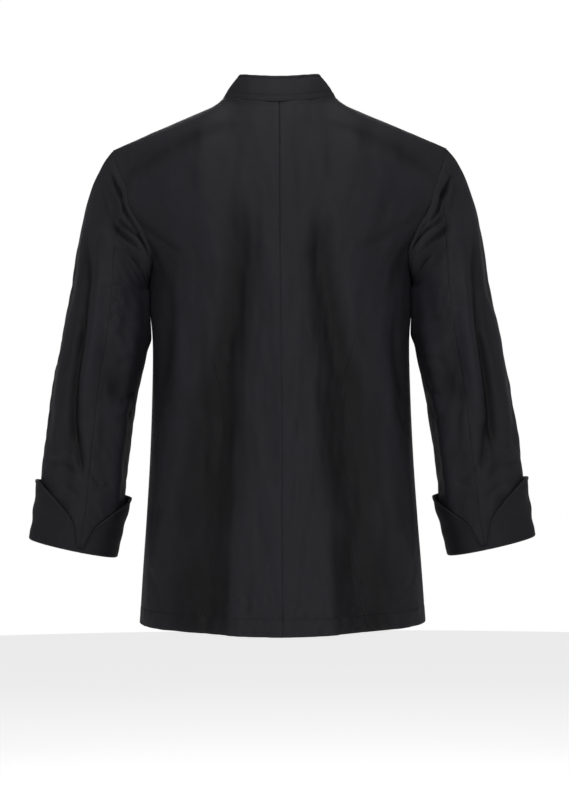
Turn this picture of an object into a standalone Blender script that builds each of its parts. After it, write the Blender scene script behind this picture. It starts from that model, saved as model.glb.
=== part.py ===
"""A double-breasted chef jacket, filled out as if worn, with nobody in it.

The cloth is a thin wall laid on smooth surfaces. Each surface is a function of two readings, and each
cut piece is a four-sided patch of it. Lengths are in millimetres here and become metres as the meshes
are made. +Z is up, the front faces -Y and the wearer's left is +X. The origin is at the middle of the
neck, level with the points where the shoulder seams meet the collar.
"""

import math

import bmesh
import bpy
import numpy as np
from mathutils import Vector
from mathutils.bvhtree import BVHTree

MM = 0.001

# ---------------------------------------------------------------- driving sizes
CLOTH = 1.6  # thickness of a wall of cloth
SEAM_GAP = 0.4  # between neighbouring pieces, and a little less where a seam curves
LAYER = CLOTH + 1.7  # from the middle of one layer to the middle of the one on it

CHEST_DROP = 245.0  # the underarm points below the origin
HEM_DROP_SIDE = 735.0
HEM_DROP_BACK = 742.0
HEM_DROP_FRONT = 742.0
RING_SQUARENESS = 2.3  # 2 is an ellipse

SHOULDER_HALF = 236.0  # middle to shoulder point
SHOULDER_SLOPE = 0.42
NECK_HALF = 79.0
NECK_BACK = 52.0  # middle of the neck to the collar seam at the back
NECK_FRONT = 66.0
NECK_RISE = 7.4  # the neck points, where the cloth climbs to the collar
NECK_CLIMB_WIDTH = 6.0
SHOULDER_START = -0.6  # where the straight shoulder would meet the neck without that climb
NECK_DIP_BACK = 11.4
NECK_DIP_FRONT = 80.0

SHOULDER_FLARE = 0.36  # share of the climb to the shoulder by which the chest is as wide as the shoulders
SHOULDER_ROUNDNESS = 2.2  # of the curve over the shoulder, seen from the side
NECK_LEAN_BACK = 2.4  # the same of the flatter curve up to the neck
NECK_LEAN_FRONT = 1.9
NECK_LEAN_HALF = 45.0  # that curve runs this far from the middle, then turns into the round one
NECK_LEAN_BLEND = 70.0
FLATNESS = 0.625  # depth of the body as a share of its width

ARMHOLE_ANGLE = 24.8  # widest reach of the armhole round the body, in degrees
ARMHOLE_WIDEST = 0.25  # how far up the armhole it is widest
ARMHOLE_CROWDING = 1.42  # above 1, the sleeve's angles lie closer together near the shoulder point
PRINCESS_LEVEL = 1.22  # where the side-back seam meets the armhole
SIDE_BACK_CORNER = 1.05  # upper corner of the side-back piece, a little up the armhole

CAP_FULLNESS = 0.78  # how far the sleeve cap swells before it turns down
SLEEVE_CLEARANCE = 0.6  # from the body that the sleeve hangs against

COLLAR_TOP_HALF = 56.0
COLLAR_TOP_BACK = 28.0
COLLAR_TOP_FRONT = 60.0
COLLAR_TOP_RISE = 39.5
COLLAR_BACK_RISE = 30.0
COLLAR_FRONT_HEIGHT = 38.0
COLLAR_FRONT_GAP = 5.0  # degrees, from centre front to a collar end
COLLAR_CORNER = 9.0  # degrees taken off by the rounded corner

FLAP_LEVEL = 1.33  # top corner of the double-breasted flap
LAP_EASE = 7.0  # degrees past the front below, where the front on top comes down beside it
CUFF_HEIGHT = 85.0
CUFF_NOTCH_HEIGHT = 5.0
CUFF_LIFT = 2.6  # middle of the cuff's cloth off the middle of the sleeve's
CUFF_FLARE = 2.6  # and this much more at its free edge

BUTTON_RADIUS = 8.5
BUTTON_HEIGHT = 3.6
BUTTON_COLUMN = 68.0  # middle of the front to a column of buttons
BUTTON_TOP_DROP = 140.0
BUTTON_PITCH = 84.0
BUTTON_ROWS = 5
BUTTON_SIDES = 14
BUTTON_CLEARANCE = 0.3

BODY_ROWS = 14  # rows of faces from the hem to the underarm, on every piece of the body
ARMHOLE_ROWS = 3  # and from there to the top of the side-back seam
UPPER_ROWS = 7  # and from there to the shoulder
SHOULDER_COLUMNS = 7  # along the shoulder seam
NECK_COLUMN = 0.04  # share of a panel's width taken by the narrow column beside the collar

BLACK_TWILL = (0.018, 0.017, 0.019)
TWILL_ROUGHNESS = 0.82
BLACK_PLASTIC = (0.02, 0.02, 0.022)
PLASTIC_ROUGHNESS = 0.45

BACK_SEAM = 97.0  # sleeve seams, in degrees round the sleeve from its outer edge
FRONT_SEAM = 245.0

# The body from the underarm to the hem: drop below the origin, half width, depth behind and in front.
BODY_COLUMNS = ("drop", "half_width", "back", "front")
BODY = (
    (245.0, 184.0, 136.0, 133.0),
    (345.0, 181.0, 131.0, 136.0),
    (420.0, 182.5, 126.0, 134.0),
    (505.0, 186.0, 125.0, 131.0),
    (591.0, 191.5, 129.0, 131.0),
    (665.0, 197.0, 135.0, 134.0),
    (742.0, 202.0, 141.0, 138.0),
)

# The side-back seam: drop, and its distance from centre back.
PRINCESS_COLUMNS = ("drop", "x")
PRINCESS = (
    (245.0, 139.0),
    (280.0, 119.0),
    (350.0, 100.0),
    (440.0, 87.0),
    (550.0, 91.0),
    (640.0, 105.0),
    (742.0, 123.0),
)

# Half the overlap of the fronts, as an angle either side of centre front, at each level up the body.
OVERLAP_COLUMNS = ("level", "angle")
OVERLAP = (
    (0.0, 30.0),
    (0.5, 32.0),
    (1.0, 33.0),
    (FLAP_LEVEL, 26.0),
)

# The sleeve below the biceps: centre, tilt of the arm from the vertical, half width and half depth.
SLEEVE_COLUMNS = ("x", "y", "z", "tilt", "half_width", "half_depth")
SLEEVE = (
    (239.0, 2.0, -262.0, 7.0, 55.5, 75.0),
    (249.5, 0.0, -335.0, 9.5, 60.0, 71.0),
    (263.5, -4.0, -403.0, 10.5, 59.8, 65.0),
    (274.0, -10.0, -467.0, 9.5, 60.2, 59.0),
    (281.5, -16.0, -521.0, 10.0, 60.8, 54.0),
    (288.5, -22.0, -575.0, 12.0, 61.3, 50.0),
    (299.5, -28.0, -629.5, 12.5, 61.8, 48.0),
)

# The turned-back cuff's free edge: distance round the sleeve from the notch, and height.
CUFF_COLUMNS = ("distance", "height")
CUFF_EDGE = (
    (0.0, CUFF_NOTCH_HEIGHT),
    (4.0, 6.0),
    (7.5, 12.0),
    (14.0, 34.0),
    (24.0, 48.0),
    (40.0, 64.0),
    (56.0, 76.0),
    (80.0, CUFF_HEIGHT),
)

# Soft folds of the body: distance from the middle at the top and the bottom, drop at the top and the
# bottom, depth (a trough is negative) and half width.
FOLD_COLUMNS = ("x_top", "x_bottom", "drop_top", "drop_bottom", "depth", "half_width")
BACK_FOLDS = (
    (48.0, 96.0, 190.0, 900.0, -6.5, 21.0),
    (-46.0, -98.0, 200.0, 900.0, -6.0, 23.0),
    (150.0, 168.0, 260.0, 470.0, -4.0, 9.0),
    (-150.0, -167.0, 270.0, 480.0, -3.6, 10.0),
    (142.0, 160.0, 560.0, 900.0, -3.5, 14.0),
    (-146.0, -158.0, 590.0, 900.0, -3.0, 15.0),
)
FRONT_FOLDS = (
    (112.0, 124.0, 230.0, 900.0, -5.0, 20.0),
    (-116.0, -126.0, 250.0, 900.0, -5.5, 19.0),
    (152.0, 166.0, 262.0, 450.0, -3.5, 10.0),
    (-150.0, -166.0, 268.0, 470.0, -3.8, 9.0),
    (150.0, 158.0, 600.0, 900.0, -3.0, 15.0),
    (-152.0, -160.0, 570.0, 900.0, -3.4, 14.0),
)

# Folds of a sleeve: angle round it and reading along it at both ends, depth, and half width in degrees.
ALONG_DEGREES = 90.0  # degrees round the sleeve as long as one reading along it
SLEEVE_FOLD_COLUMNS = ("angle_a", "along_a", "angle_b", "along_b", "depth", "half_width")
SLEEVE_FOLDS = (
    (58.0, 0.75, 74.0, 1.78, -5.0, 13.0),
    (40.0, 0.16, 124.0, 0.60, -3.8, 11.0),
    (66.0, 0.14, 142.0, 0.52, -3.4, 9.5),
    (92.0, 1.22, 140.0, 1.34, -3.5, 6.0),
    (96.0, 1.36, 150.0, 1.30, -3.0, 5.0),
    (300.0, 0.80, 285.0, 1.70, -4.5, 14.0),
    (318.0, 0.16, 232.0, 0.60, -4.5, 8.0),
    (262.0, 1.24, 215.0, 1.34, -3.0, 6.0),
)


# ---------------------------------------------------------------- small functions
def ease(x):
    """From 0 to 1 with level ends."""
    x = np.clip(x, 0.0, 1.0)
    return x * x * (3.0 - 2.0 * x)


def mix(a, b, share):
    return a + (b - a) * share


def read(rows, columns, want, at):
    """A smooth reading of the column `want` where the first column is `at`."""
    xs = np.array([row[0] for row in rows], float)
    ys = np.array([row[columns.index(want)] for row in rows], float)
    slopes = np.gradient(ys, xs)
    at = np.clip(np.asarray(at, float), xs[0], xs[-1])
    i = np.clip(np.searchsorted(xs, at, side="right") - 1, 0, len(xs) - 2)
    step = xs[i + 1] - xs[i]
    t = (at - xs[i]) / step
    rise = ys[i] * (1 + 2 * t) * (1 - t) ** 2 + ys[i + 1] * t * t * (3 - 2 * t)
    lean = slopes[i] * t * (1 - t) ** 2 - slopes[i + 1] * t * t * (1 - t)
    return rise + lean * step


def unit(vectors):
    return vectors / np.maximum(np.linalg.norm(vectors, axis=-1, keepdims=True), 1e-9)


def ridge(distance, half_width):
    """A soft bell, 1 in the middle."""
    return np.exp(-((distance / half_width) ** 2))


# ---------------------------------------------------------------- the body's surface
def body_ring(angle, drop):
    """Distances to the side, to the back and from the middle, on the level ring at this drop."""
    side, back = np.cos(angle), np.sin(angle)
    width = read(BODY, BODY_COLUMNS, "half_width", drop)
    behind = read(BODY, BODY_COLUMNS, "back", drop)
    before = read(BODY, BODY_COLUMNS, "front", drop)
    depth = np.where(back >= 0, behind, before)
    n = RING_SQUARENESS
    radius = (np.abs(side / width) ** n + np.abs(back / depth) ** n) ** (-1 / n)
    return radius * side, radius * back, width


def body_side(y, drop):
    """How far out the side of the body is at this depth and drop."""
    width = read(BODY, BODY_COLUMNS, "half_width", drop)
    behind = read(BODY, BODY_COLUMNS, "back", drop)
    before = read(BODY, BODY_COLUMNS, "front", drop)
    share = np.clip(np.abs(y / np.where(y >= 0, behind, before)), 0, 0.99)
    return width * (1 - share**RING_SQUARENESS) ** (1 / RING_SQUARENESS)


def shoulder_height(x):
    """Height of the shoulder seam, which climbs to the collar near the neck."""
    out = np.abs(x) - NECK_HALF
    climb = (NECK_RISE - SHOULDER_START) * np.exp(-np.maximum(out, 0) / NECK_CLIMB_WIDTH)
    return SHOULDER_START - SHOULDER_SLOPE * out + climb


def neckline(angle):
    """The collar seam: 0 at the wearer's left, 90 at centre back, -90 at centre front."""
    side, back = np.cos(angle), np.sin(angle)
    behind = back >= 0
    y = back * np.where(behind, NECK_BACK, NECK_FRONT)
    dip = np.where(behind, NECK_DIP_BACK * back**2, NECK_DIP_FRONT * np.abs(back) ** 1.5)
    return np.stack([NECK_HALF * side, y, NECK_RISE - dip], -1)


def top_edge(x, behind):
    """The shoulder seam and the neckline as one edge, read by the distance from the middle."""
    inside = np.clip(np.abs(x) / NECK_HALF, 0, 1)
    reach = np.sqrt(1 - inside**2)
    angle = np.arctan2(np.where(behind, reach, -reach), np.sign(x) * inside)
    collar_seam = neckline(angle)
    on_neck = np.abs(x) < NECK_HALF
    y = np.where(on_neck, collar_seam[..., 1], 0.0)
    z = np.where(on_neck, collar_seam[..., 2], shoulder_height(x))
    return y, z


def fold_depth(x, drop, rows):
    """Sum of the body's folds, each fading in and out along its length."""
    total = np.zeros(np.broadcast(x, drop).shape)
    for row in rows:
        fold = dict(zip(FOLD_COLUMNS, row))
        along = (drop - fold["drop_top"]) / (fold["drop_bottom"] - fold["drop_top"])
        middle = mix(fold["x_top"], fold["x_bottom"], np.clip(along, 0, 1) ** 0.7)
        fade = ease(along / 0.35) * ease((1 - along) / 0.3)
        total = total + fold["depth"] * fade * ridge(x - middle, fold["half_width"])
    return total


def body_point(angle, level):
    """The body's cloth. angle is in degrees, as in neckline(). level is 0 at the hem, 1 at the underarm
    and 2 at the shoulder seam and neckline."""
    angle = np.radians(angle)
    back = np.sin(angle)
    behind = back >= 0
    low, high = np.clip(level, 0, 1), np.clip(level - 1, 0, 1)
    hem_middle = np.where(behind, HEM_DROP_BACK, HEM_DROP_FRONT)
    hem = mix(HEM_DROP_SIDE, hem_middle, back**2)
    drop = mix(hem, CHEST_DROP, low)
    x, y, width = body_ring(angle, drop)

    top_x = x / width * SHOULDER_HALF
    top_y, top_z = top_edge(top_x, behind)
    climb = np.sin(high * math.pi / 2)
    z = mix(-drop, top_z, climb)
    on_shoulder = ease((np.abs(top_x) - NECK_LEAN_HALF) / NECK_LEAN_BLEND)
    round_lean = np.maximum(1 - climb**SHOULDER_ROUNDNESS, 0) ** (1 / SHOULDER_ROUNDNESS)
    neck_lean = 1 - climb ** np.where(behind, NECK_LEAN_BACK, NECK_LEAN_FRONT)
    lean = mix(neck_lean, round_lean, on_shoulder)
    x = mix(x, top_x, ease(high / SHOULDER_FLARE))
    y = mix(top_y, y, lean)

    folds = np.where(behind, fold_depth(x, -z, BACK_FOLDS), fold_depth(x, -z, FRONT_FOLDS))
    folds = folds * np.abs(back) ** 0.5
    out = unit(np.stack([np.cos(angle) * FLATNESS, back, np.zeros_like(back)], -1))
    return np.stack([x, y, z], -1) + out * folds[..., None]


# ---------------------------------------------------------------- edges of the body's pieces
def armhole_angle(level):
    """How far round the body the armhole reaches at this level, in degrees from the side."""
    up = np.clip(level - 1, 0, 1)
    fall = 0.5 * (1 - ARMHOLE_WIDEST) / ARMHOLE_WIDEST
    peak = ARMHOLE_WIDEST**0.5 * (1 - ARMHOLE_WIDEST) ** fall
    return ARMHOLE_ANGLE * up**0.5 * (1 - up) ** fall / peak


def princess_angle(level):
    """The side-back seam, in degrees round the body."""
    drop = mix(HEM_DROP_BACK, CHEST_DROP, np.clip(level, 0, 1))
    x = read(PRINCESS, PRINCESS_COLUMNS, "x", drop)
    width = read(BODY, BODY_COLUMNS, "half_width", drop)
    depth = read(BODY, BODY_COLUMNS, "back", drop)
    y = depth * (1 - (x / width) ** RING_SQUARENESS) ** (1 / RING_SQUARENESS)
    below = np.degrees(np.arctan2(y, x))
    above = np.clip((level - 1) / (PRINCESS_LEVEL - 1), 0, 1)
    return mix(below, armhole_angle(np.array(PRINCESS_LEVEL)), above)


def overlap_angle(level):
    """Degrees from centre front to the free edge of a front."""
    straight = read(OVERLAP, OVERLAP_COLUMNS, "angle", level)
    slant = (2 - level) / (2 - FLAP_LEVEL)
    return straight * np.clip(slant, 0, 1)


def neck_point_share():
    """Share of the way from the middle to the side, at the underarm ring, of the neck points' column."""
    angles = np.radians(np.linspace(0, 90, 901))
    x, _, width = body_ring(angles, np.full(901, CHEST_DROP))
    at_neck = np.interp(NECK_HALF / SHOULDER_HALF, (x / width)[::-1], np.degrees(angles)[::-1])
    return (90 - at_neck) / 90


def coons(left, right, bottom, top, across, up):
    """Readings inside a four-sided patch of a surface, from the readings along its edges."""
    s, t = np.meshgrid(across, up)
    sides = mix(left(t), right(t), s[..., None])
    ends = mix(bottom(s), top(s), t[..., None])
    low = mix(left(0 * t), right(0 * t), s[..., None])
    high = mix(left(0 * t + 1), right(0 * t + 1), s[..., None])
    return sides + ends - mix(low, high, t[..., None])


def line(start, end):
    start, end = np.array(start, float), np.array(end, float)
    return lambda t: mix(start, end, np.asarray(t)[..., None])


def bent_line(start, middle, end, share):
    """As line(), but at `middle` when the reading is `share`."""
    stops = np.array([start, middle, end], float)
    return lambda t: np.stack([np.interp(t, [0, share, 1], stops[:, i]) for i in (0, 1)], -1)


def readings(angle, level):
    return np.stack(np.broadcast_arrays(angle, level), -1)


def steps(*stops):
    """Readings from the first stop through the others: (stop, count, stop, count, ...)."""
    found = [np.array([stops[0]], float)]
    for start, count, end in zip(stops[0::2], stops[1::2], stops[2::2]):
        found.append(np.linspace(start, end, count + 1)[1:])
    return np.concatenate(found)


# ---------------------------------------------------------------- the sleeve's surface
def armhole_lengths(sign):
    """Levels down one half of the armhole, and the share of its length that lies above each."""
    levels = 2 - np.linspace(0, 1, 241) ** 1.5
    points = body_point(sign * armhole_angle(levels), levels)
    lengths = np.concatenate([[0], np.cumsum(np.linalg.norm(np.diff(points, axis=0), axis=1))])
    return levels, lengths / lengths[-1]


ARMHOLE_HALVES = {1: armhole_lengths(1), -1: armhole_lengths(-1)}


def armhole_point(angle):
    """A point of the armhole. 0 is the shoulder point, 90 the back, 180 the underarm, 270 the front."""
    angle = np.mod(angle, 360)
    down = np.where(angle <= 180, angle, 360 - angle) / 180
    found = []
    for sign in (1, -1):
        levels, shares = ARMHOLE_HALVES[sign]
        level = np.interp(down**ARMHOLE_CROWDING, shares, levels)
        found.append(body_point(sign * armhole_angle(level), level))
    return np.where((angle <= 180)[..., None], found[0], found[1])


def sleeve_ring(angle, row):
    """A point round the sleeve, where row is 0 at the biceps and counts the sections below it."""
    rows = [(float(i), *section) for i, section in enumerate(SLEEVE)]
    columns = ("row", *SLEEVE_COLUMNS)
    value = {c: read(rows, columns, c, row) for c in SLEEVE_COLUMNS}
    tilt = np.radians(value["tilt"])
    across = value["half_width"] * np.cos(angle)
    x = value["x"] + across * np.cos(tilt)
    z = value["z"] + across * np.sin(tilt)
    y = value["y"] + value["half_depth"] * np.sin(angle)
    return np.stack([x, y, z], -1)


def sleeve_fold_depth(angle, along):
    """Sum of the sleeve's folds, each a straight run over the sleeve laid out flat, in degrees."""
    total = np.zeros(np.broadcast(angle, along).shape)
    for row in SLEEVE_FOLDS:
        fold = dict(zip(SLEEVE_FOLD_COLUMNS, row))
        rise = (fold["along_b"] - fold["along_a"]) * ALONG_DEGREES
        run = np.array([fold["angle_b"] - fold["angle_a"], rise])
        length = np.linalg.norm(run)
        around = angle - fold["angle_a"]
        down = (along - fold["along_a"]) * ALONG_DEGREES
        t = (around * run[0] + down * run[1]) / length**2
        off = (around * run[1] - down * run[0]) / length
        fade = ease((t + 0.15) / 0.35) * ease((1.15 - t) / 0.35)
        total = total + fold["depth"] * fade * ridge(off, fold["half_width"])
    return total


def sleeve_point(angle, along):
    """The left sleeve's cloth. angle is as in armhole_point(). along is 0 at the armhole, 1 at the biceps
    and 2 at the end."""
    angle = np.mod(angle, 360)
    turn = np.radians(angle)
    rows = len(SLEEVE) - 1
    ring = sleeve_ring(turn, np.clip(along - 1, 0, 1) * rows)
    biceps = sleeve_ring(turn, np.zeros_like(along))
    tilt = math.radians(SLEEVE[0][SLEEVE_COLUMNS.index("tilt")])

    # The cap leaves the armhole outward, except under the arm, where it leaves straight down.
    outward = ease(np.abs(180 - angle) / 95)
    start = armhole_point(angle)
    out = np.stack([outward * 0.95 + 0.05, 0.4 * np.sin(turn) * outward, -1.05 + 0.1 * outward], -1)
    reach = np.linalg.norm(biceps - start, axis=-1)[..., None]
    leave = unit(out) * reach * CAP_FULLNESS
    arrive = np.array([math.sin(tilt), 0, -math.cos(tilt)]) * reach * CAP_FULLNESS
    t = np.clip(along, 0, 1)[..., None]
    cap = start * (1 + 2 * t) * (1 - t) ** 2 + biceps * t * t * (3 - 2 * t)
    cap = cap + leave * t * (1 - t) ** 2 - arrive * t * t * (1 - t)
    point = np.where((along < 1)[..., None], cap, ring)

    folds = sleeve_fold_depth(angle, along) * ease(along / 0.2)
    side = np.stack([np.cos(turn), np.sin(turn), np.zeros_like(turn)], -1)
    point = point + side * folds[..., None]

    # Off the seam's edge, and clear of the side of the body that it hangs against.
    seam_gap = mix(CLOTH, 0.6, ease(along / 0.12)) * ease((1 - along) / 0.3)
    off = np.stack([0.9 + 0 * turn, 0.45 * np.sin(turn), -0.4 + 0 * turn], -1)
    point = point + off * seam_gap[..., None]
    wall = body_side(point[..., 1], np.maximum(-point[..., 2], CHEST_DROP)) + CLOTH + SLEEVE_CLEARANCE
    over = point[..., 0] - wall
    soft = wall + 0.5 * (over + np.sqrt(over**2 + 2.0))
    hang = ease((-point[..., 2] - CHEST_DROP + 55) / 40)
    point[..., 0] = mix(point[..., 0], soft, hang)
    return point


# ---------------------------------------------------------------- cuff and collar
def cuff_edge_height(angle):
    """Height of the cuff's free edge at this angle round the sleeve."""
    half_turn = np.abs(np.mod(angle - BACK_SEAM + 180, 360) - 180)
    width = SLEEVE[-1][SLEEVE_COLUMNS.index("half_width")]
    distance = np.radians(half_turn) * width
    return read(CUFF_EDGE, CUFF_COLUMNS, "height", np.minimum(distance, CUFF_EDGE[-1][0]))


def cuff_point(angle, height):
    """The left cuff. Below 0 it rolls under the end of the sleeve."""
    turn = np.radians(angle)
    rows = len(SLEEVE) - 1
    last, above = np.array(SLEEVE[-1]), np.array(SLEEVE[-2])
    row_length = np.linalg.norm((last - above)[:3])
    up = np.maximum(height, 0)
    ring = sleeve_ring(turn, rows - up / row_length)
    roll = np.clip(-height, 0, 1) * math.pi / 2
    lift = CUFF_LIFT * np.cos(roll) + CUFF_FLARE * ease(up / CUFF_HEIGHT)
    tilt = math.radians(SLEEVE[-1][SLEEVE_COLUMNS.index("tilt")])
    across = np.array([math.cos(tilt), 0, math.sin(tilt)])
    fore = np.array([0.0, 1.0, 0.0])
    down = np.array([math.sin(tilt), 0, -math.cos(tilt)])
    side = unit(np.cos(turn)[..., None] * across + np.sin(turn)[..., None] * fore)
    return ring + side * lift[..., None] + down * (CUFF_LIFT * np.sin(roll))[..., None]


def collar_point(angle, height):
    """The stand collar: height is 0 at its seam and 1 at its free edge."""
    turn = np.radians(angle)
    side, back = np.cos(turn), np.sin(turn)
    behind = back >= 0
    seam = neckline(turn)
    seam_lift = np.array([0.0, 0.0, SEAM_GAP + CLOTH / 2])
    inward = np.stack([-side, -back * 0.2, np.zeros_like(side)], -1)
    seam = seam + seam_lift + inward * (CLOTH / 2 + SEAM_GAP)
    y = back * np.where(behind, COLLAR_TOP_BACK, COLLAR_TOP_FRONT)
    front_rise = NECK_RISE - NECK_DIP_FRONT + COLLAR_FRONT_HEIGHT
    z_back = mix(COLLAR_TOP_RISE, COLLAR_BACK_RISE, back**2)
    z_front = mix(COLLAR_TOP_RISE, front_rise, np.abs(back) ** 1.5)
    top = np.stack([COLLAR_TOP_HALF * side, y, np.where(behind, z_back, z_front)], -1)
    bulge = np.stack([side, back, 0 * side], -1) * (np.sin(height * math.pi) * 1.5)[..., None]
    return mix(seam, top, np.asarray(height)[..., None]) + bulge


# ---------------------------------------------------------------- walls of cloth
def normals_of(surface, a, b, a_step=0.05, b_step=0.0005):
    """Unit normals, to the outside, from small steps of both readings."""
    along_a = surface(a + a_step, b) - surface(a - a_step, b)
    along_b = surface(a, b + b_step) - surface(a, b - b_step)
    return unit(np.cross(along_a, along_b))


def trim(points, gap, ends=True, sides=True):
    """Draws the edges of a grid of points in by half a seam's gap."""
    moved = points.copy()
    if sides:
        moved[:, 0] += unit(points[:, 1] - points[:, 0]) * gap
        moved[:, -1] += unit(points[:, -2] - points[:, -1]) * gap
    if ends:
        moved[0] += unit(points[1] - points[0]) * gap
        moved[-1] += unit(points[-2] - points[-1]) * gap
    return moved


def wall_mesh(name, middle, normals, round_about=False):
    """A closed wall of cloth about a grid of middle points."""
    rows, columns = middle.shape[:2]
    half = CLOTH / 2
    made = bmesh.new()
    layers = []
    for offset in (half, -half):
        points = (middle + normals * offset) * MM
        layers.append([[made.verts.new(p) for p in row] for row in points])
    outer, inner = layers
    last = columns if round_about else columns - 1
    for i in range(rows - 1):
        for j in range(last):
            k = (j + 1) % columns
            made.faces.new((outer[i][j], outer[i][k], outer[i + 1][k], outer[i + 1][j]))
            made.faces.new((inner[i][j], inner[i + 1][j], inner[i + 1][k], inner[i][k]))
    for j in range(last):
        k = (j + 1) % columns
        made.faces.new((outer[0][k], outer[0][j], inner[0][j], inner[0][k]))
        made.faces.new((outer[-1][j], outer[-1][k], inner[-1][k], inner[-1][j]))
    if not round_about:
        for i in range(rows - 1):
            made.faces.new((outer[i][0], outer[i + 1][0], inner[i + 1][0], inner[i][0]))
            made.faces.new((outer[i + 1][-1], outer[i][-1], inner[i][-1], inner[i + 1][-1]))
    bmesh.ops.recalc_face_normals(made, faces=made.faces)
    mesh = bpy.data.meshes.new(name)
    made.to_mesh(mesh)
    made.free()
    return mesh


def add_object(name, mesh, material, parent):
    mesh.shade_smooth()
    mesh.set_sharp_from_angle(angle=math.radians(50))
    mesh.materials.append(material)
    made = bpy.data.objects.new(name, mesh)
    made.parent = parent
    bpy.context.scene.collection.objects.link(made)
    return made


def add_wall(name, middle, normals, mirrored, material, parent, round_about=False):
    """Adds the wall, or its mirror image for the wearer's right."""
    if mirrored:
        flip = np.array([-1.0, 1.0, 1.0])
        middle, normals = middle * flip, normals * flip
    mesh = wall_mesh(name, middle, normals, round_about)
    return add_object(name, mesh, material, parent)


# ---------------------------------------------------------------- the cut pieces
def body_panel(name, grid, material, parent, mirrored=False, lift=None):
    """A piece of the body. Only the folds differ on the right, so a mirrored piece is read there."""
    angle, level = grid[..., 0], grid[..., 1]
    if mirrored:
        angle = 180 - angle
    points = body_point(angle, level)
    normals = normals_of(body_point, angle, level)
    if lift is not None:
        points = points + normals * lift(angle, level)[..., None]
    points = trim(points, SEAM_GAP / 2)
    return add_wall(name, points, normals, False, material, parent)


def back_grid():
    """Centre back, hem, side-back seam with the upper armhole, and shoulder with the neckline."""
    kink = PRINCESS_LEVEL / 2

    def outer(t):
        level = 2 * np.asarray(t)
        on_seam = level < PRINCESS_LEVEL
        return readings(np.where(on_seam, princess_angle(level), armhole_angle(level)), level)

    hem = line((90, 0), (float(princess_angle(np.array(0.0))), 0))
    share = neck_point_share()
    across = steps(0, 3, share, 1, share + NECK_COLUMN, SHOULDER_COLUMNS - 1, 1)
    up = steps(0, BODY_ROWS, 0.5, ARMHOLE_ROWS, kink, UPPER_ROWS, 1)
    return coons(line((90, 0), (90, 2)), outer, hem, line((90, 2), (0, 2)), across, up)


def side_back_grid():
    """Side-back seam, hem, side seam and the lower back of the armhole."""

    def inner(t):
        level = PRINCESS_LEVEL * np.asarray(t)
        return readings(princess_angle(level), level)

    def outer(t):
        level = PRINCESS_LEVEL * np.asarray(t)
        past = (level - 1) / (PRINCESS_LEVEL - 1)
        level = np.where(level < 1, level, mix(1, SIDE_BACK_CORNER, past))
        return readings(armhole_angle(level), level)

    def upper(s):
        level = mix(PRINCESS_LEVEL, SIDE_BACK_CORNER, np.asarray(s))
        return readings(armhole_angle(level), level)

    start = float(princess_angle(np.array(0.0)))
    up = steps(0, BODY_ROWS, 1 / PRINCESS_LEVEL, ARMHOLE_ROWS, 1)
    return coons(inner, outer, line((start, 0), (0, 0)), upper, steps(0, 7, 1), up)


def front_grid():
    """Free edge with its slant, hem, side seam with the armhole, and shoulder with the neckline."""

    def free_edge(t):
        level = 2 * np.asarray(t)
        return readings(-90 - overlap_angle(level), level)

    def outer(t):
        level = 2 * np.asarray(t)
        return readings(-armhole_angle(level), level)

    start = -90 - float(overlap_angle(np.array(0.0)))
    share = neck_point_share()
    hem = bent_line((start, 0), (start / 2, 0), (0, 0), share)
    across = steps(0, 9, share, 1, share + NECK_COLUMN, SHOULDER_COLUMNS - 1, 1)
    up = steps(0, BODY_ROWS, 0.5, ARMHOLE_ROWS + 1, FLAP_LEVEL / 2, UPPER_ROWS, 1)
    return coons(free_edge, outer, hem, line((-90, 2), (0, 2)), across, up)


def over_the_under_front(angle, level):
    """Lifts the outer front off the one that it overlaps."""
    beyond = angle + 90 - overlap_angle(level)
    on_slant = ease((level - 1.4) / 0.2) * ease((1.95 - level) / 0.2)
    return LAYER * (1 + 0.3 * on_slant) * (1 - ease((beyond - LAP_EASE) / LAP_EASE))


def sleeve_piece(name, first, last, columns, mirrored, material, parent):
    angles = np.linspace(first, last, columns + 1)
    alongs = steps(0, 2, 0.08, 8, 1, 14, 2)
    angle, along = np.meshgrid(angles, alongs)
    points = sleeve_point(angle, along)
    normals = -normals_of(sleeve_point, angle, along)
    points = trim(points, 0.75 * SEAM_GAP, ends=False)
    return add_wall(name, points, normals, mirrored, material, parent)


def cuff(name, mirrored, material, parent):
    spread = np.linspace(0, 1, 25)[:-1]
    near = np.concatenate([[-22, -14, -9, -5, -2, 2, 5, 9, 14, 22], mix(30.0, 330.0, spread)])
    angles = BACK_SEAM + near
    shares = np.array([-1.0, -0.5, 0.0, 0.2, 0.4, 0.6, 0.8, 1.0])
    angle, share = np.meshgrid(angles, shares)
    height = np.where(share < 0, share, share * cuff_edge_height(angle))
    points = cuff_point(angle, height)
    normals = -normals_of(cuff_point, angle, height, b_step=0.02)
    return add_wall(name, points, normals, mirrored, material, parent, round_about=True)


def collar(name, material, parent):
    across = np.linspace(0, 1, 37)
    heights = np.array([0.0, 0.25, 0.5, 0.7, 0.85, 0.95, 1.0])
    share, height = np.meshgrid(across, heights)
    corner = np.clip((height - 0.6) / 0.4, 0, 1)
    gap = COLLAR_FRONT_GAP + COLLAR_CORNER * (1 - np.sqrt(1 - corner**2))
    angle = mix(-90 + gap, 270 - gap, share)
    points = collar_point(angle, height)
    normals = normals_of(collar_point, angle, height)
    return add_wall(name, points, normals, False, material, parent)


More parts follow.
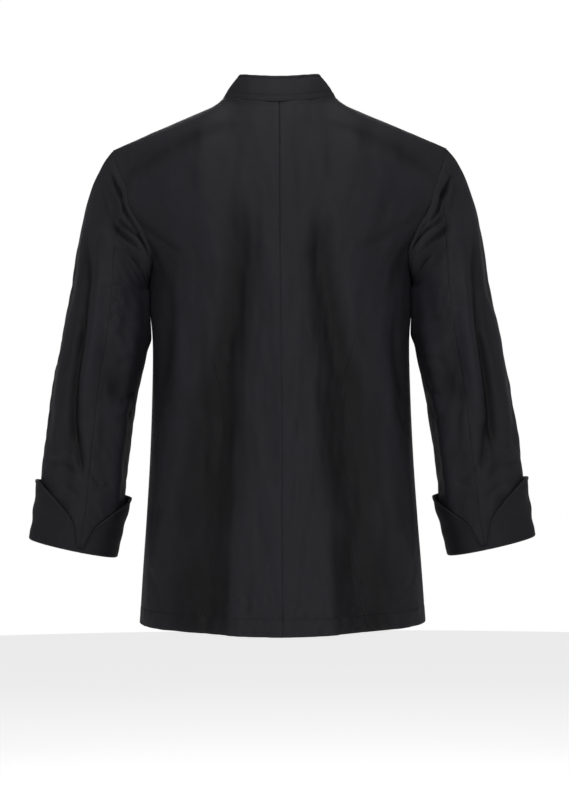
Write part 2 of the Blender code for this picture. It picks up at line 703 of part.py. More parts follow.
def button_mesh(name):
    """A round button with a raised rim, turned about Z, its underside at 0."""
    r, h = BUTTON_RADIUS, BUTTON_HEIGHT
    profile = ((0.0, 0.0), (0.8 * r, 0.0), (r, 0.35 * h), (0.96 * r, 0.8 * h), (0.82 * r, h))
    profile = (*profile, (0.62 * r, 0.78 * h), (0.0, 0.7 * h))
    made = bmesh.new()
    rings = []
    for radius, height in profile:
        count = BUTTON_SIDES if radius else 1
        turns = [2 * math.pi * k / BUTTON_SIDES for k in range(count)]
        ring = [(radius * math.cos(a) * MM, radius * math.sin(a) * MM, height * MM) for a in turns]
        rings.append([made.verts.new(p) for p in ring])
    for lower, upper in zip(rings, rings[1:]):
        for k in range(BUTTON_SIDES):
            n = (k + 1) % BUTTON_SIDES
            below = (lower[k % len(lower)], lower[n % len(lower)])
            above = (upper[n % len(upper)], upper[k % len(upper)])
            made.faces.new(tuple(dict.fromkeys(below + above)))
    bmesh.ops.recalc_face_normals(made, faces=made.faces)
    mesh = bpy.data.meshes.new(name)
    made.to_mesh(mesh)
    made.free()
    return mesh


def front_place(x, drop):
    """Readings of the point of the front at this distance from the middle and this drop."""
    angle, level = -90.0, 1.0
    for _ in range(40):
        point = body_point(np.array(angle), np.array(level))
        angle += (x - point[0]) * 0.35
        level -= (drop + point[2]) * 0.0015
    return angle, level


def add_button(name, x, drop, panel, material, parent):
    """A button laid on the panel, just clear of the highest point beneath it."""
    angle, level = (np.array(v) for v in front_place(x, drop))
    normal = Vector(normals_of(body_point, angle, level))
    above = Vector(body_point(angle, level) * MM) + normal * 3 * LAYER * MM
    turn = normal.to_track_quat("Z", "Y")
    corners = [vertex.co for vertex in panel.data.vertices]
    faces = [tuple(face.vertices) for face in panel.data.polygons]
    cloth = BVHTree.FromPolygons(corners, faces)
    heights = []
    for radius in (0.0, 0.5 * BUTTON_RADIUS, BUTTON_RADIUS):
        for k in range(BUTTON_SIDES):
            around = 2 * math.pi * k / BUTTON_SIDES
            foot = Vector((radius * math.cos(around), radius * math.sin(around), 0)) * MM
            heights.append(cloth.ray_cast(above + turn @ foot, -normal)[3])
    made = add_object(name, button_mesh(name), material, parent)
    made.location = above - normal * (min(heights) - BUTTON_CLEARANCE * MM)
    made.rotation_euler = turn.to_euler()
    return made


# ---------------------------------------------------------------- the whole jacket
def new_material(name, colour, roughness):
    material = bpy.data.materials.new(name)
    material.use_nodes = True
    shader = material.node_tree.nodes["Principled BSDF"]
    shader.inputs["Base Color"].default_value = (*colour, 1.0)
    shader.inputs["Roughness"].default_value = roughness
    shader.inputs["Metallic"].default_value = 0.0
    return material


def clear_scene():
    for old in list(bpy.data.objects):
        bpy.data.objects.remove(old, do_unlink=True)


def build():
    clear_scene()
    jacket = bpy.data.objects.new("chef_jacket", None)
    bpy.context.scene.collection.objects.link(jacket)
    fronts = {}

    def fabric(name):
        return new_material(name + "_twill", BLACK_TWILL, TWILL_ROUGHNESS)

    plastic = new_material("button_plastic", BLACK_PLASTIC, PLASTIC_ROUGHNESS)
    for side, mirrored in (("left", False), ("right", True)):
        name = "back_" + side
        body_panel(name, back_grid(), fabric(name), jacket, mirrored)
        name = "side_back_" + side
        body_panel(name, side_back_grid(), fabric(name), jacket, mirrored)
        name = "front_" + side
        lift = None if mirrored else over_the_under_front
        fronts[side] = body_panel(name, front_grid(), fabric(name), jacket, mirrored, lift)
        name = "top_sleeve_" + side
        sleeve_piece(name, FRONT_SEAM - 360, BACK_SEAM, 15, mirrored, fabric(name), jacket)
        name = "under_sleeve_" + side
        sleeve_piece(name, BACK_SEAM, FRONT_SEAM, 10, mirrored, fabric(name), jacket)
        name = "cuff_" + side
        cuff(name, mirrored, fabric(name), jacket)
    collar("collar", fabric("collar"), jacket)
    for column, x in (("left", BUTTON_COLUMN), ("right", -BUTTON_COLUMN)):
        for row in range(BUTTON_ROWS):
            drop = BUTTON_TOP_DROP + row * BUTTON_PITCH
            add_button(f"button_{column}_{row + 1}", x, drop, fronts["left"], plastic, jacket)


build()
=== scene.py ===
"""Looks of the chef jacket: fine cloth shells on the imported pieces, with creases, seams and stitching.

Lengths are in millimetres and become metres as the meshes are made. Each cut piece is a finer grid of
points on its solid's surface, to which creases, uneven ripples and a swell at each side are added.
"""

import math

import bmesh
import bpy
import numpy as np
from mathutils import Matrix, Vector
from mathutils.bvhtree import BVHTree


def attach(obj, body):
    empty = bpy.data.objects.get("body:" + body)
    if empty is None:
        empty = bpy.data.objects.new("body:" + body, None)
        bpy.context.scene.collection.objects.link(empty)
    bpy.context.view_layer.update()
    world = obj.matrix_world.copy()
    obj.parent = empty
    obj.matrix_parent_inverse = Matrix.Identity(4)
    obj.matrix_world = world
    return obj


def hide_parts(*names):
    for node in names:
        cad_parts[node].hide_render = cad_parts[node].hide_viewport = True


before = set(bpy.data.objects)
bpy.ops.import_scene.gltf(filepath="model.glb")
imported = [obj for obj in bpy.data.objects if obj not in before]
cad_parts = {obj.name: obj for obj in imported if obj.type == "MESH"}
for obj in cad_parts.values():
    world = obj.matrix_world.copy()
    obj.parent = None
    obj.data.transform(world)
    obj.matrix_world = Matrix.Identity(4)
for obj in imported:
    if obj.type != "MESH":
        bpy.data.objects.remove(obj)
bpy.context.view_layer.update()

MM = 0.001

# ---------------------------------------------------------------- driving sizes, the same in the solids
CLOTH = 1.6
SEAM_GAP = 0.4
LAYER = CLOTH + 1.7

CHEST_DROP = 245.0
HEM_DROP_SIDE = 735.0
HEM_DROP_BACK = 742.0
HEM_DROP_FRONT = 742.0
RING_SQUARENESS = 2.3

SHOULDER_HALF = 236.0
SHOULDER_SLOPE = 0.42
NECK_HALF = 79.0
NECK_BACK = 52.0
NECK_FRONT = 66.0
NECK_RISE = 7.4
NECK_CLIMB_WIDTH = 6.0
SHOULDER_START = -0.6
NECK_DIP_BACK = 11.4
NECK_DIP_FRONT = 80.0

SHOULDER_FLARE = 0.36
SHOULDER_ROUNDNESS = 2.2
NECK_LEAN_BACK = 2.4
NECK_LEAN_FRONT = 1.9
NECK_LEAN_HALF = 45.0
NECK_LEAN_BLEND = 70.0
FLATNESS = 0.625

ARMHOLE_ANGLE = 24.8
ARMHOLE_WIDEST = 0.25
ARMHOLE_CROWDING = 1.42
PRINCESS_LEVEL = 1.22
SIDE_BACK_CORNER = 1.05

CAP_FULLNESS = 0.78
SLEEVE_CLEARANCE = 0.6

COLLAR_TOP_HALF = 56.0
COLLAR_TOP_BACK = 28.0
COLLAR_TOP_FRONT = 60.0
COLLAR_TOP_RISE = 39.5
COLLAR_FRONT_HEIGHT = 38.0
COLLAR_FRONT_GAP = 5.0
COLLAR_CORNER = 9.0

FLAP_LEVEL = 1.33
LAP_EASE = 7.0
CUFF_HEIGHT = 85.0
CUFF_LIFT = 2.6
CUFF_FLARE = 2.6

BUTTON_RADIUS = 8.5
BUTTON_HEIGHT = 3.6
BUTTON_COLUMN = 68.0
BUTTON_TOP_DROP = 140.0
BUTTON_PITCH = 84.0
BUTTON_ROWS = 5
BUTTON_CLEARANCE = 0.3

BACK_SEAM = 97.0
FRONT_SEAM = 245.0
NECK_COLUMN = 0.04

# Sizes that the solids lack or hold otherwise.
NECK_POINT_SPREAD = 26.0  # how far to each side the neck point is averaged
COLLAR_BACK_RISE = 33.5  # 3.5 more than the solid's
COLLAR_HEIGHT = 34.0
COLLAR_RUN = 46.0  # cloth from the collar's seam to its free edge, which leans in
CUFF_NOTCH_HEIGHT = 1.6  # the solid's is 5
CUFF_NOTCH = 103.0  # degrees round the sleeve, 6 more than the solid's
BACK_WIDTH = 140.0  # cloth across a piece, by which the columns beside its edges are placed
SIDE_BACK_WIDTH = 130.0
FRONT_WIDTH = 380.0
COLLAR_LENGTH = 390.0
COLLAR_ROUND = 1.1  # millimetres round the collar to a degree

BODY_COLUMNS = ("drop", "half_width", "back", "front")
BODY = (
    (245, 184, 136, 133),
    (345, 181, 131, 136),
    (420, 182.5, 126, 134),
    (505, 186, 125, 131),
    (591, 191.5, 129, 131),
    (665, 197, 135, 134),
    (742, 202, 141, 138),
)

PRINCESS_COLUMNS = ("drop", "x")
PRINCESS = (
    (245, 139),
    (280, 119),
    (350, 100),
    (440, 87),
    (550, 91),
    (640, 105),
    (742, 123),
)

OVERLAP_COLUMNS = ("level", "angle")
OVERLAP = (
    (0, 30),
    (0.5, 32),
    (1, 33),
    (FLAP_LEVEL, 26),
)

SLEEVE_COLUMNS = ("x", "y", "z", "tilt", "half_width", "half_depth")
SLEEVE = (
    (239, 2, -262, 7, 55.5, 75),
    (249.5, 0, -335, 9.5, 60, 71),
    (263.5, -4, -403, 10.5, 59.8, 65),
    (274, -10, -467, 9.5, 60.2, 59),
    (281.5, -16, -521, 10, 60.8, 54),
    (288.5, -22, -575, 12, 61.3, 50),
    (299.5, -28, -629.5, 12.5, 61.8, 48),
)

# Where the seam behind the arm runs, in degrees round the sleeve. The solids' runs straight at BACK_SEAM.
BACK_SEAM_COLUMNS = ("along", "angle")
BACK_SEAM_SWAY = (
    (0, BACK_SEAM),
    (1, BACK_SEAM),
    (1.17, 97.6),
    (1.33, 99.6),
    (1.5, 101),
    (1.75, 101.6),
    (2, CUFF_NOTCH),
)

# The cuff's free edge by the distance from its notch. It is up to about 5 lower than the solid's.
CUFF_COLUMNS = ("distance", "height")
CUFF_EDGE = (
    (0, CUFF_NOTCH_HEIGHT),
    (4, 2),
    (7.5, 11.5),
    (14.5, 33),
    (24, 45.5),
    (40, 60),
    (56, 71),
    (72, 80),
    (84, CUFF_HEIGHT),
)

# The large folds, as in the solids.
FOLD_COLUMNS = ("x_top", "x_bottom", "drop_top", "drop_bottom", "depth", "half_width")
BACK_FOLDS = (
    (48, 96, 190, 900, -6.5, 21),
    (-46, -98, 200, 900, -6, 23),
    (150, 168, 260, 470, -4, 9),
    (-150, -167, 270, 480, -3.6, 10),
    (142, 160, 560, 900, -3.5, 14),
    (-146, -158, 590, 900, -3, 15),
)
FRONT_FOLDS = (
    (112, 124, 230, 900, -5, 20),
    (-116, -126, 250, 900, -5.5, 19),
    (152, 166, 262, 450, -3.5, 10),
    (-150, -166, 268, 470, -3.8, 9),
    (150, 158, 600, 900, -3, 15),
    (-152, -160, 570, 900, -3.4, 14),
)
ALONG_DEGREES = 90.0
SLEEVE_FOLD_COLUMNS = ("angle_a", "along_a", "angle_b", "along_b", "depth", "half_width")
SLEEVE_FOLDS = (
    (58, 0.75, 74, 1.78, -5, 13),
    (40, 0.16, 124, 0.60, -3.8, 11),
    (66, 0.14, 142, 0.52, -3.4, 9.5),
    (92, 1.22, 140, 1.34, -3.5, 6),
    (96, 1.36, 150, 1.30, -3, 5),
    (300, 0.80, 285, 1.70, -4.5, 14),
    (318, 0.16, 232, 0.60, -4.5, 8),
    (262, 1.24, 215, 1.34, -3, 6),
)

# ---------------------------------------------------------------- creases
# Each crease runs from a to b on the cloth laid out flat: u to the wearer's left from the middle of the
# back or front, v down. bow bends it sideways. A trough's depth is negative. Where it runs down, it
# falls away over low_side towards smaller u and over high_side towards larger u.
CREASE_COLUMNS = ("u_a", "v_a", "u_b", "v_b", "bow", "depth", "low_side", "high_side")
ARC = 3.0  # millimetres round the body to a degree

BACK_CREASES = (
    # the two long troughs from the shoulder blades to the hem, with a crisp inner edge near the hem
    (60, 150, 116, 410, -6, -9, 26, 24),
    (112, 373, 136, 634, 4, -13.5, 33, 36),
    (132, 597, 138, 887, 0, -13.5, 34, 36),
    (84, 560, 82, 800, 0, 3.4, 16, 8),
    (-60, 170, -116, 400, 8, -9, 24, 26),
    (-112, 368, -136, 598, -4, -14.5, 34, 34),
    (-134, 575, -138, 865, 0, -14.5, 34, 34),
    (-82, 570, -78, 800, 0, 3.2, 8, 16),
    # where the troughs run out above the hem
    (136, 712, 138, 800, 0, 6, 34, 36),
    (-136, 710, -138, 800, 0, 6, 34, 34),
    # the light ridges between and beside them
    (6, 230, -12, 540, 0, 4, 26, 24),
    (0, 540, 4, 800, 0, 3.6, 44, 46),
    (168, 235, 174, 430, 0, 3.6, 15, 12),
    (-174, 245, -184, 430, 0, 3.6, 12, 15),
    # thinner lines beside them
    (30, 120, 38, 330, 3, -1, 7, 9),
    (-24, 90, -34, 250, -2, -0.9, 9, 6),
    (64, 250, 70, 470, 4, -1.1, 5, 8),
    (-70, 300, -64, 500, -4, -1.2, 9, 5),
    (134, 330, 140, 560, 3, -1.3, 8, 6),
    (-130, 360, -142, 600, -5, -1.3, 6, 9),
    (46, 470, 40, 620, 2, -0.9, 6, 8),
    (-40, 420, -48, 560, -3, -0.9, 8, 5),
    (160, 450, 172, 640, 4, -1.2, 7, 9),
    (-166, 480, -170, 690, -4, -1.2, 8, 7),
    (110, 600, 128, 760, 0, -1.6, 6, 10),
    (-120, 620, -130, 780, 0, -1.5, 9, 6),
    (24, 640, 30, 790, 0, -1, 8, 9),
    # the hollow below each shoulder
    (62, 42, 207, 120, 10, -4.4, 15, 9),
    (-62, 40, -205, 118, -10, -4.4, 9, 15),
    (96, 84, 186, 150, 8, 1.6, 16, 12),
    (-98, 84, -184, 146, -8, 1.6, 12, 16),
    # drag from the armpit, and down beside the sleeve
    (210, 196, 158, 318, 10, -2.2, 13, 17),
    (198, 172, 150, 226, 5, -2.4, 9, 7),
    (-206, 190, -160, 300, -8, -2.4, 17, 12),
    (-184, 172, -126, 212, -5, -2.6, 8, 9),
    (170, 292, 222, 424, -6, -2.8, 10, 15),
    (-176, 318, -230, 432, 6, -2, 15, 10),
    (188, 400, 226, 470, 4, -1.5, 5, 7),
    (-192, 420, -236, 500, -5, -1.6, 7, 5),
    # short curves at the sides of the hem
    (224, 656, 188, 722, -7, -1.3, 7, 6),
    (-230, 640, -196, 724, 8, -1.2, 6, 8),
    (206, 560, 214, 650, 4, -1.6, 8, 7),
    (-204, 580, -212, 670, -3, -1.5, 7, 8),
)
FRONT_CREASES = (
    (150, 250, 162, 560, 6, -2.8, 12, 20),
    (158, 560, 166, 790, 0, -3.4, 7, 20),
    (-152, 260, -166, 540, -8, -2.8, 20, 11),
    (-160, 550, -170, 790, 0, -3.2, 22, 7),
    (120, 430, 128, 690, 5, -1.5, 8, 12),
    (-126, 400, -132, 640, -4, -1.5, 12, 8),
    (60, 520, 74, 790, 3, -2.2, 10, 16),
    (-54, 500, -70, 790, -3, -2.2, 15, 10),
    (14, 540, 20, 790, 0, 1.8, 26, 24),
    (20, 200, 10, 420, 3, 1.4, 30, 24),
    (62, 64, 206, 128, 9, -3, 14, 9),
    (-64, 60, -204, 124, -9, -3, 9, 15),
    (208, 192, 140, 296, 10, -3.8, 12, 15),
    (196, 166, 132, 214, 6, -2.2, 9, 8),
    (-206, 196, -146, 308, -9, -3.6, 15, 12),
    (-190, 164, -120, 206, -5, -2, 8, 9),
    (176, 300, 224, 440, -5, -2.8, 6, 9),
    (-180, 290, -226, 418, 5, -2.8, 9, 6),
    (196, 470, 204, 660, 4, -1.6, 8, 7),
    (-200, 500, -208, 690, -4, -1.5, 7, 8),
    (222, 640, 192, 724, -6, -2, 6, 5),
    (-226, 652, -190, 722, 6, -2, 5, 6),
)

# On a sleeve u is in degrees round it and v in millimetres down it from the armhole.
ROUND = 1.07  # millimetres round a sleeve to a degree
CAP_LENGTH = 130.0
ARM_LENGTH = 375.0
SLEEVE_CREASES = (
    # from the cap to the armpit, at the back
    (44, 14, 112, 10, -3, -7, 5.5, 4.5),
    (108, 13, 140, 20, 1, -4.4, 4, 4),
    (96, 37, 136, 13, 1.5, -4.6, 3.6, 3.8),
    (84, 55, 130, 37, 2, -4.6, 3.8, 3.8),
    (44, 28, 84, 47, 1, 1.6, 4, 5),
    (60, 76, 128, 68, 6, 2, 8, 9),
    (92, 80, 142, 60, 4, -1.2, 5, 6),
    # the long trough behind the arm and the ridges beside it
    (44, 80, 60, 210, 2, -6.5, 9, 9),
    (59, 180, 74, 335, -3, -7.8, 8, 9),
    (72, 305, 92, 386, 2, -6.4, 7, 7),
    (70, 100, 80, 285, 2, 6.5, 11, 12),
    (36, 220, 46, 360, 2, 2.4, 10, 8),
    (136, 130, 146, 460, 0, 5, 16, 12),
    (112, 166, 150, 162, -1, -1.5, 3, 4),
    (110, 190, 140, 200, 2, 1.6, 8, 8),
    # behind the elbow and inside it
    (134, 270, 162, 250, 2, -2.2, 4, 5),
    (128, 292, 160, 276, -2, -1.6, 4, 4),
    (118, 220, 152, 206, 2, -1.7, 5, 4),
    (104, 250, 116, 350, 3, -1.4, 6, 8),
    # where the sleeve meets the cuff
    (30, 372, 88, 386, 4, -2.2, 4, 6),
    (42, 352, 84, 360, -3, 1.4, 6, 5),
    (98, 372, 120, 396, -2, -2, 4, 4),
    (60, 404, 92, 424, 3, -1.6, 5, 5),
    (104, 408, 134, 392, -2, -1.4, 4, 5),
    # the outer edge
    (14, 70, 26, 170, 2, -1.8, 9, 10),
    (6, 210, 22, 330, 3, -1.6, 8, 10),
    (-30, 240, -10, 350, -3, -1.6, 9, 8),
    # the front of the sleeve
    (302, 90, 288, 330, -4, -3, 10, 8),
    (282, 110, 268, 260, 3, 2.2, 8, 9),
    (318, 22, 244, 44, -5, -3.4, 6, 6),
    (292, 62, 234, 40, 4, -2.8, 6, 5),
    (270, 82, 226, 60, -3, -2.2, 5, 5),
    (198, 236, 248, 222, 3, -2.6, 5, 6),
    (202, 266, 254, 262, -3, -2.2, 4, 6),
    (194, 294, 240, 306, 3, -1.8, 5, 5),
    (260, 372, 306, 362, 3, -1.8, 5, 5),
    (246, 402, 284, 416, -3, -1.6, 5, 6),
    # the inner side, which leans against the body
    (160, 118, 168, 198, 0, 8, 20, 20),
)

# The edges of cut pieces: how far the cloth turns in and over what width, the height of the puckers
# beside it, the distance to a row of stitches, and the extra thickness of the turned cloth inside it.
EDGE_COLUMNS = ("kind", "turn", "width", "pucker", "stitches", "extra")
EDGES = (
    ("faint", 0.15, 0.9, 0.18, None, 0.0),
    ("centre", 0.55, 1.0, 0.25, None, 0.0),
    ("behind_arm", 0.45, 1.0, 0.40, None, 0.0),
    ("armhole", 0.35, 1.2, 0.30, None, 0.0),
    ("hem", 0.3, 0.9, 0.38, 23.0, 0.2),
    ("edge", 0.3, 0.9, 0.18, 6.0, 0.35),
    ("cuff", 0.3, 0.9, 0.20, 4.0, 0.55),
    ("bound", 0.3, 0.9, 0.16, 5.0, 0.25),
    ("stand", 0.0, 1.5, 0.20, 10.0, 0.0),
    ("plain", 0.0, 1.0, 0.0, None, 0.0),
)
EDGE = {row[0]: dict(zip(EDGE_COLUMNS, row)) for row in EDGES}

# Smooth uneven noise on the cloth. Its seed, wave length, stretch down the cloth and height.
RIPPLE_COLUMNS = ("seed", "length", "stretch", "height")
BODY_RIPPLES = ((3, 46, 2.2, 0.7), (4, 17, 1.8, 0.32), (5, 9, 1, 0.07))
HEM_RIPPLES = ((6, 15, 1, 0.4),)
HEM_RIPPLE_DROP = 610  # where they begin
HEM_RIPPLE_GROWTH = 110  # the height over which they grow, below that
SLEEVE_RIPPLES = ((8, 40, 1.8, 0.6), (12, 16, 1.6, 0.3))
SLEEVE_RADIUS = 60  # of the round on which the sleeve's ripples are read, so that they close

PUCKER_LENGTH = 13.0  # of the waves along an edge
PUCKER_CHANGE = 90.0  # over which they grow and fade again
PUCKER_REACH = 6.5  # how far in from the edge they die away
PUCKER_QUIET = 12.0  # from a corner
STITCH_PUCKER_REACH = 4.0  # how far from a row of stitches they die away
TURNED_STEP = 1.5  # over which the turned cloth's extra thickness ends
WEAR_REACH = 2.2

SHEET = 1.3  # thickness of the cloth shell
DEEP_FOLD = 10.0  # depth of fold at which the painted fold shade is darkest
HIGH_FOLD = 2.0  # height of fold at which it is palest, a painted highlight on the ridges
EDGE_ROUNDNESS = 0.8  # how far a free edge bulges, as a share of half its thickness
SEAM_ROUNDNESS = 0.2
COLLAR_TUCK = 1.4  # how far the body's cloth passes in under the collar
COLLAR_TUCK_WIDTH = 3.0
COLLAR_PROUD = 0.9  # how far the collar's edge stands off the neckline that it covers
COLLAR_OVERHANG = 1.7
SEAM_SHADE_DEPTH = 14.0  # painted shade at the collar seam, given as the depth of fold that would be as dark
SIDE_SWELL = 3.0  # how far the side of the body stands out below the armpit
SWELL_DROP = 286.0
SWELL_REACH = 32.0
SWELL_ROUND = 0.4
NECK_RUN = 315.0  # cloth from the underarm ring to the neckline
NECK_ROWS = 0.12  # levels below the neckline over which the rows are spread out
NEAR_EDGE = (0.5, 1.1, 1.9, 3.0, 4.4)  # rows of the mesh beside an edge
NEAR_STITCHES = (-2.4, -1.5, -0.75, 0.0, 0.75, 1.5, 2.4)  # and across a row of stitches
HEM_PACE = 2 * (HEM_DROP_BACK - CHEST_DROP)  # length of a piece that kept the pace of its hem all the way up

STITCH_PITCH = 3.0
STITCH_LENGTH = 2.4
STITCH_RADIUS = 0.26
STITCH_PROUD = 0.02  # how far a whole stitch is lifted off its profile
STITCH_GROOVE = 0.42
STITCH_GROOVE_WIDTH = 1.3
# Along a stitch: the share of its length, the share of its radius, and its height above the cloth.
STITCH_PROFILE = ((0, 0.35, -0.3), (0.18, 0.9, 0), (0.5, 1, 0.12), (0.82, 0.9, 0), (1, 0.35, -0.3))


# ---------------------------------------------------------------- small functions
def ease(x):
    """From 0 to 1 with level ends."""
    x = np.clip(x, 0.0, 1.0)
    return x * x * (3.0 - 2.0 * x)


def mix(a, b, share):
    return a + (b - a) * share


def read(rows, columns, want, at):
    """A smooth reading of the column `want` where the first column is `at`."""
    xs = np.array([row[0] for row in rows], float)
    ys = np.array([row[columns.index(want)] for row in rows], float)
    slopes = np.gradient(ys, xs)
    at = np.clip(np.asarray(at, float), xs[0], xs[-1])
    i = np.clip(np.searchsorted(xs, at, side="right") - 1, 0, len(xs) - 2)
    step = xs[i + 1] - xs[i]
    t = (at - xs[i]) / step
    rise = ys[i] * (1 + 2 * t) * (1 - t) ** 2 + ys[i + 1] * t * t * (3 - 2 * t)
    lean = slopes[i] * t * (1 - t) ** 2 - slopes[i + 1] * t * t * (1 - t)
    return rise + lean * step


def unit(vectors):
    return vectors / np.maximum(np.linalg.norm(vectors, axis=-1, keepdims=True), 1e-9)


def ridge(distance, half_width):
    return np.exp(-((distance / half_width) ** 2))


def level_out(turn, flatness=1.0):
    """Level directions out from the middle."""
    return np.stack([np.cos(turn) * flatness, np.sin(turn), 0 * turn], -1)


def lengths_along(points):
    """Distance of each point from the first one, along their line."""
    return np.concatenate([[0], np.cumsum(np.linalg.norm(np.diff(points, axis=0), axis=1))])


def mirror(mirrored):
    """What points are multiplied by on this side of the jacket."""
    return np.array([-1.0, 1.0, 1.0]) if mirrored else np.ones(3)


def ripples(u, v, seed, length, stretch=1.0, waves=14):
    """Smooth uneven noise of about -1 to 1, with the given wave length, stretched along v."""
    rng = np.random.default_rng(seed)
    total = np.zeros(np.broadcast(u, v).shape)
    for _ in range(waves):
        heading = rng.uniform(0, 2 * math.pi)
        size = 2 * math.pi / (length * rng.uniform(0.7, 1.6))
        phase = rng.uniform(0, 2 * math.pi)
        total = total + np.sin(size * (u * math.cos(heading) + v * math.sin(heading) / stretch) + phase)
    return total / math.sqrt(waves)


def rippled(relief, u, v, rows, other=0, share=1.0):
    """The relief with a table's ripples added. `other` takes the noise of the other side."""
    for row in rows:
        r = dict(zip(RIPPLE_COLUMNS, row))
        relief = relief + ripples(u, v, r["seed"] + other, r["length"], r["stretch"]) * r["height"] * share
    return relief


def crease_depth(u, v, rows, side_scale=1.0):
    """Sum of the creases. Each is a trough or ridge with a low swell beside it, thinner at its ends."""
    total = np.zeros(np.broadcast(u, v).shape)
    for row in rows:
        c = dict(zip(CREASE_COLUMNS, row))
        run = ((c["u_b"] - c["u_a"]) * side_scale, c["v_b"] - c["v_a"])
        length = math.hypot(*run)
        du, dv = (u - c["u_a"]) * side_scale, v - c["v_a"]
        t = (du * run[0] + dv * run[1]) / length**2
        off = (du * run[1] - dv * run[0]) / length - c["bow"] * 4 * t * (1 - t)
        fade = ease((t + 0.12) / 0.38) * ease((1.12 - t) / 0.38)
        width = np.where(off < 0, c["low_side"], c["high_side"]) * (0.6 + 0.4 * fade)
        q = (off / width) ** 2
        total = total + c["depth"] * fade * (1 - 0.3 * q) * np.exp(-0.8 * q)
    return total


# ---------------------------------------------------------------- the body's surface
def body_ring(angle, drop):
    side, back = np.cos(angle), np.sin(angle)
    width = read(BODY, BODY_COLUMNS, "half_width", drop)
    behind = read(BODY, BODY_COLUMNS, "back", drop)
    before = read(BODY, BODY_COLUMNS, "front", drop)
    depth = np.where(back >= 0, behind, before)
    n = RING_SQUARENESS
    radius = (np.abs(side / width) ** n + np.abs(back / depth) ** n) ** (-1 / n)
    return radius * side, radius * back, width


def body_side(y, drop):
    """How far out the side of the body is at this depth and drop."""
    width = read(BODY, BODY_COLUMNS, "half_width", drop)
    behind = read(BODY, BODY_COLUMNS, "back", drop)
    before = read(BODY, BODY_COLUMNS, "front", drop)
    share = np.clip(np.abs(y / np.where(y >= 0, behind, before)), 0, 0.99)
    return width * (1 - share**RING_SQUARENESS) ** (1 / RING_SQUARENESS)


def side_swell(back, drop):
    """How far the side stands out where the sleeve leans against it. back is 0 at the side, 1 behind."""
    return SIDE_SWELL * ridge(drop - SWELL_DROP, SWELL_REACH) * ridge(back, SWELL_ROUND)


def shoulder_height(x):
    out = np.abs(x) - NECK_HALF
    climb = (NECK_RISE - SHOULDER_START) * np.exp(-np.maximum(out, 0) / NECK_CLIMB_WIDTH)
    return SHOULDER_START - SHOULDER_SLOPE * out + climb


def neckline(angle):
    """The collar seam: 0 at the wearer's left, 90 at centre back, -90 at centre front."""
    side, back = np.cos(angle), np.sin(angle)
    behind = back >= 0
    y = back * np.where(behind, NECK_BACK, NECK_FRONT)
    dip = np.where(behind, NECK_DIP_BACK * back**2, NECK_DIP_FRONT * np.abs(back) ** 1.5)
    return np.stack([NECK_HALF * side, y, NECK_RISE - dip], -1)


def top_edge(x, behind):
    """The shoulder seam and the neckline as one edge, read by the distance from the middle."""
    inside = np.clip(np.abs(x) / NECK_HALF, 0, 1)
    reach = np.sqrt(1 - inside**2)
    angle = np.arctan2(np.where(behind, reach, -reach), np.sign(x) * inside)
    collar_seam = neckline(angle)
    on_neck = np.abs(x) < NECK_HALF
    y = np.where(on_neck, collar_seam[..., 1], 0.0)
    z = np.where(on_neck, collar_seam[..., 2], shoulder_height(x))
    return y, z


EDGE_X = np.arange(-300.0, 300.1, 0.1)


def top_edge_totals(behind):
    """The depth and the height of the top edge, each added up from the wearer's right."""
    step = EDGE_X[1] - EDGE_X[0]
    found = top_edge(EDGE_X, np.full(EDGE_X.shape, behind))
    return [np.concatenate([[0], np.cumsum((edge[1:] + edge[:-1]) * step / 2)]) for edge in found]


TOP_EDGE_TOTALS = {behind: top_edge_totals(behind) for behind in (True, False)}


def softened_top_edge(x, behind, spread):
    """The top edge, averaged over a spread to each side, so that the neck point melts into the shoulder."""
    wide = np.maximum(spread, 1.0)
    found = []
    for k, sharp in enumerate(top_edge(x, behind)):
        ends = [(np.interp(x + wide, EDGE_X, totals[k]), np.interp(x - wide, EDGE_X, totals[k]))
                for totals in (TOP_EDGE_TOTALS[True], TOP_EDGE_TOTALS[False])]
        back, front = ((high - low) / (2 * wide) for high, low in ends)
        found.append(mix(sharp, np.where(behind, back, front), np.clip(spread, 0, 1)))
    return found


def fold_depth(x, drop, rows):
    """Sum of the body's large folds, each fading in and out along its length."""
    total = np.zeros(np.broadcast(x, drop).shape)
    for row in rows:
        fold = dict(zip(FOLD_COLUMNS, row))
        along = (drop - fold["drop_top"]) / (fold["drop_bottom"] - fold["drop_top"])
        middle = mix(fold["x_top"], fold["x_bottom"], np.clip(along, 0, 1) ** 0.7)
        fade = ease(along / 0.35) * ease((1 - along) / 0.3)
        total = total + fold["depth"] * fade * ridge(x - middle, fold["half_width"])
    return total


def body_chart(angle, drop):
    """Where a point of the body lies on the cloth laid out flat: u from the middle, v down."""
    u = np.where(angle >= 0, 90 - angle, angle + 90) * ARC
    return u, drop


def button_drop(row):
    return BUTTON_TOP_DROP + row * BUTTON_PITCH


def button_pulls():
    """Short drag lines from the buttons that hold the fronts together, towards the side."""
    rng = np.random.default_rng(11)
    rows = []
    for k in range(BUTTON_ROWS):
        drop = button_drop(k)
        for column in (-1, 1):
            start = column * (BUTTON_COLUMN + 22) * 1.05
            end = start + column * rng.uniform(26, 52)
            rise = rng.uniform(-12, 6)
            depth = -rng.uniform(0.7, 1.4)
            rows.append((start, drop + rng.uniform(-3, 3), end, drop + rise, 2.0, depth, 4.0, 5.0))
    return tuple(rows)


FRONT_ROWS = FRONT_CREASES + button_pulls()


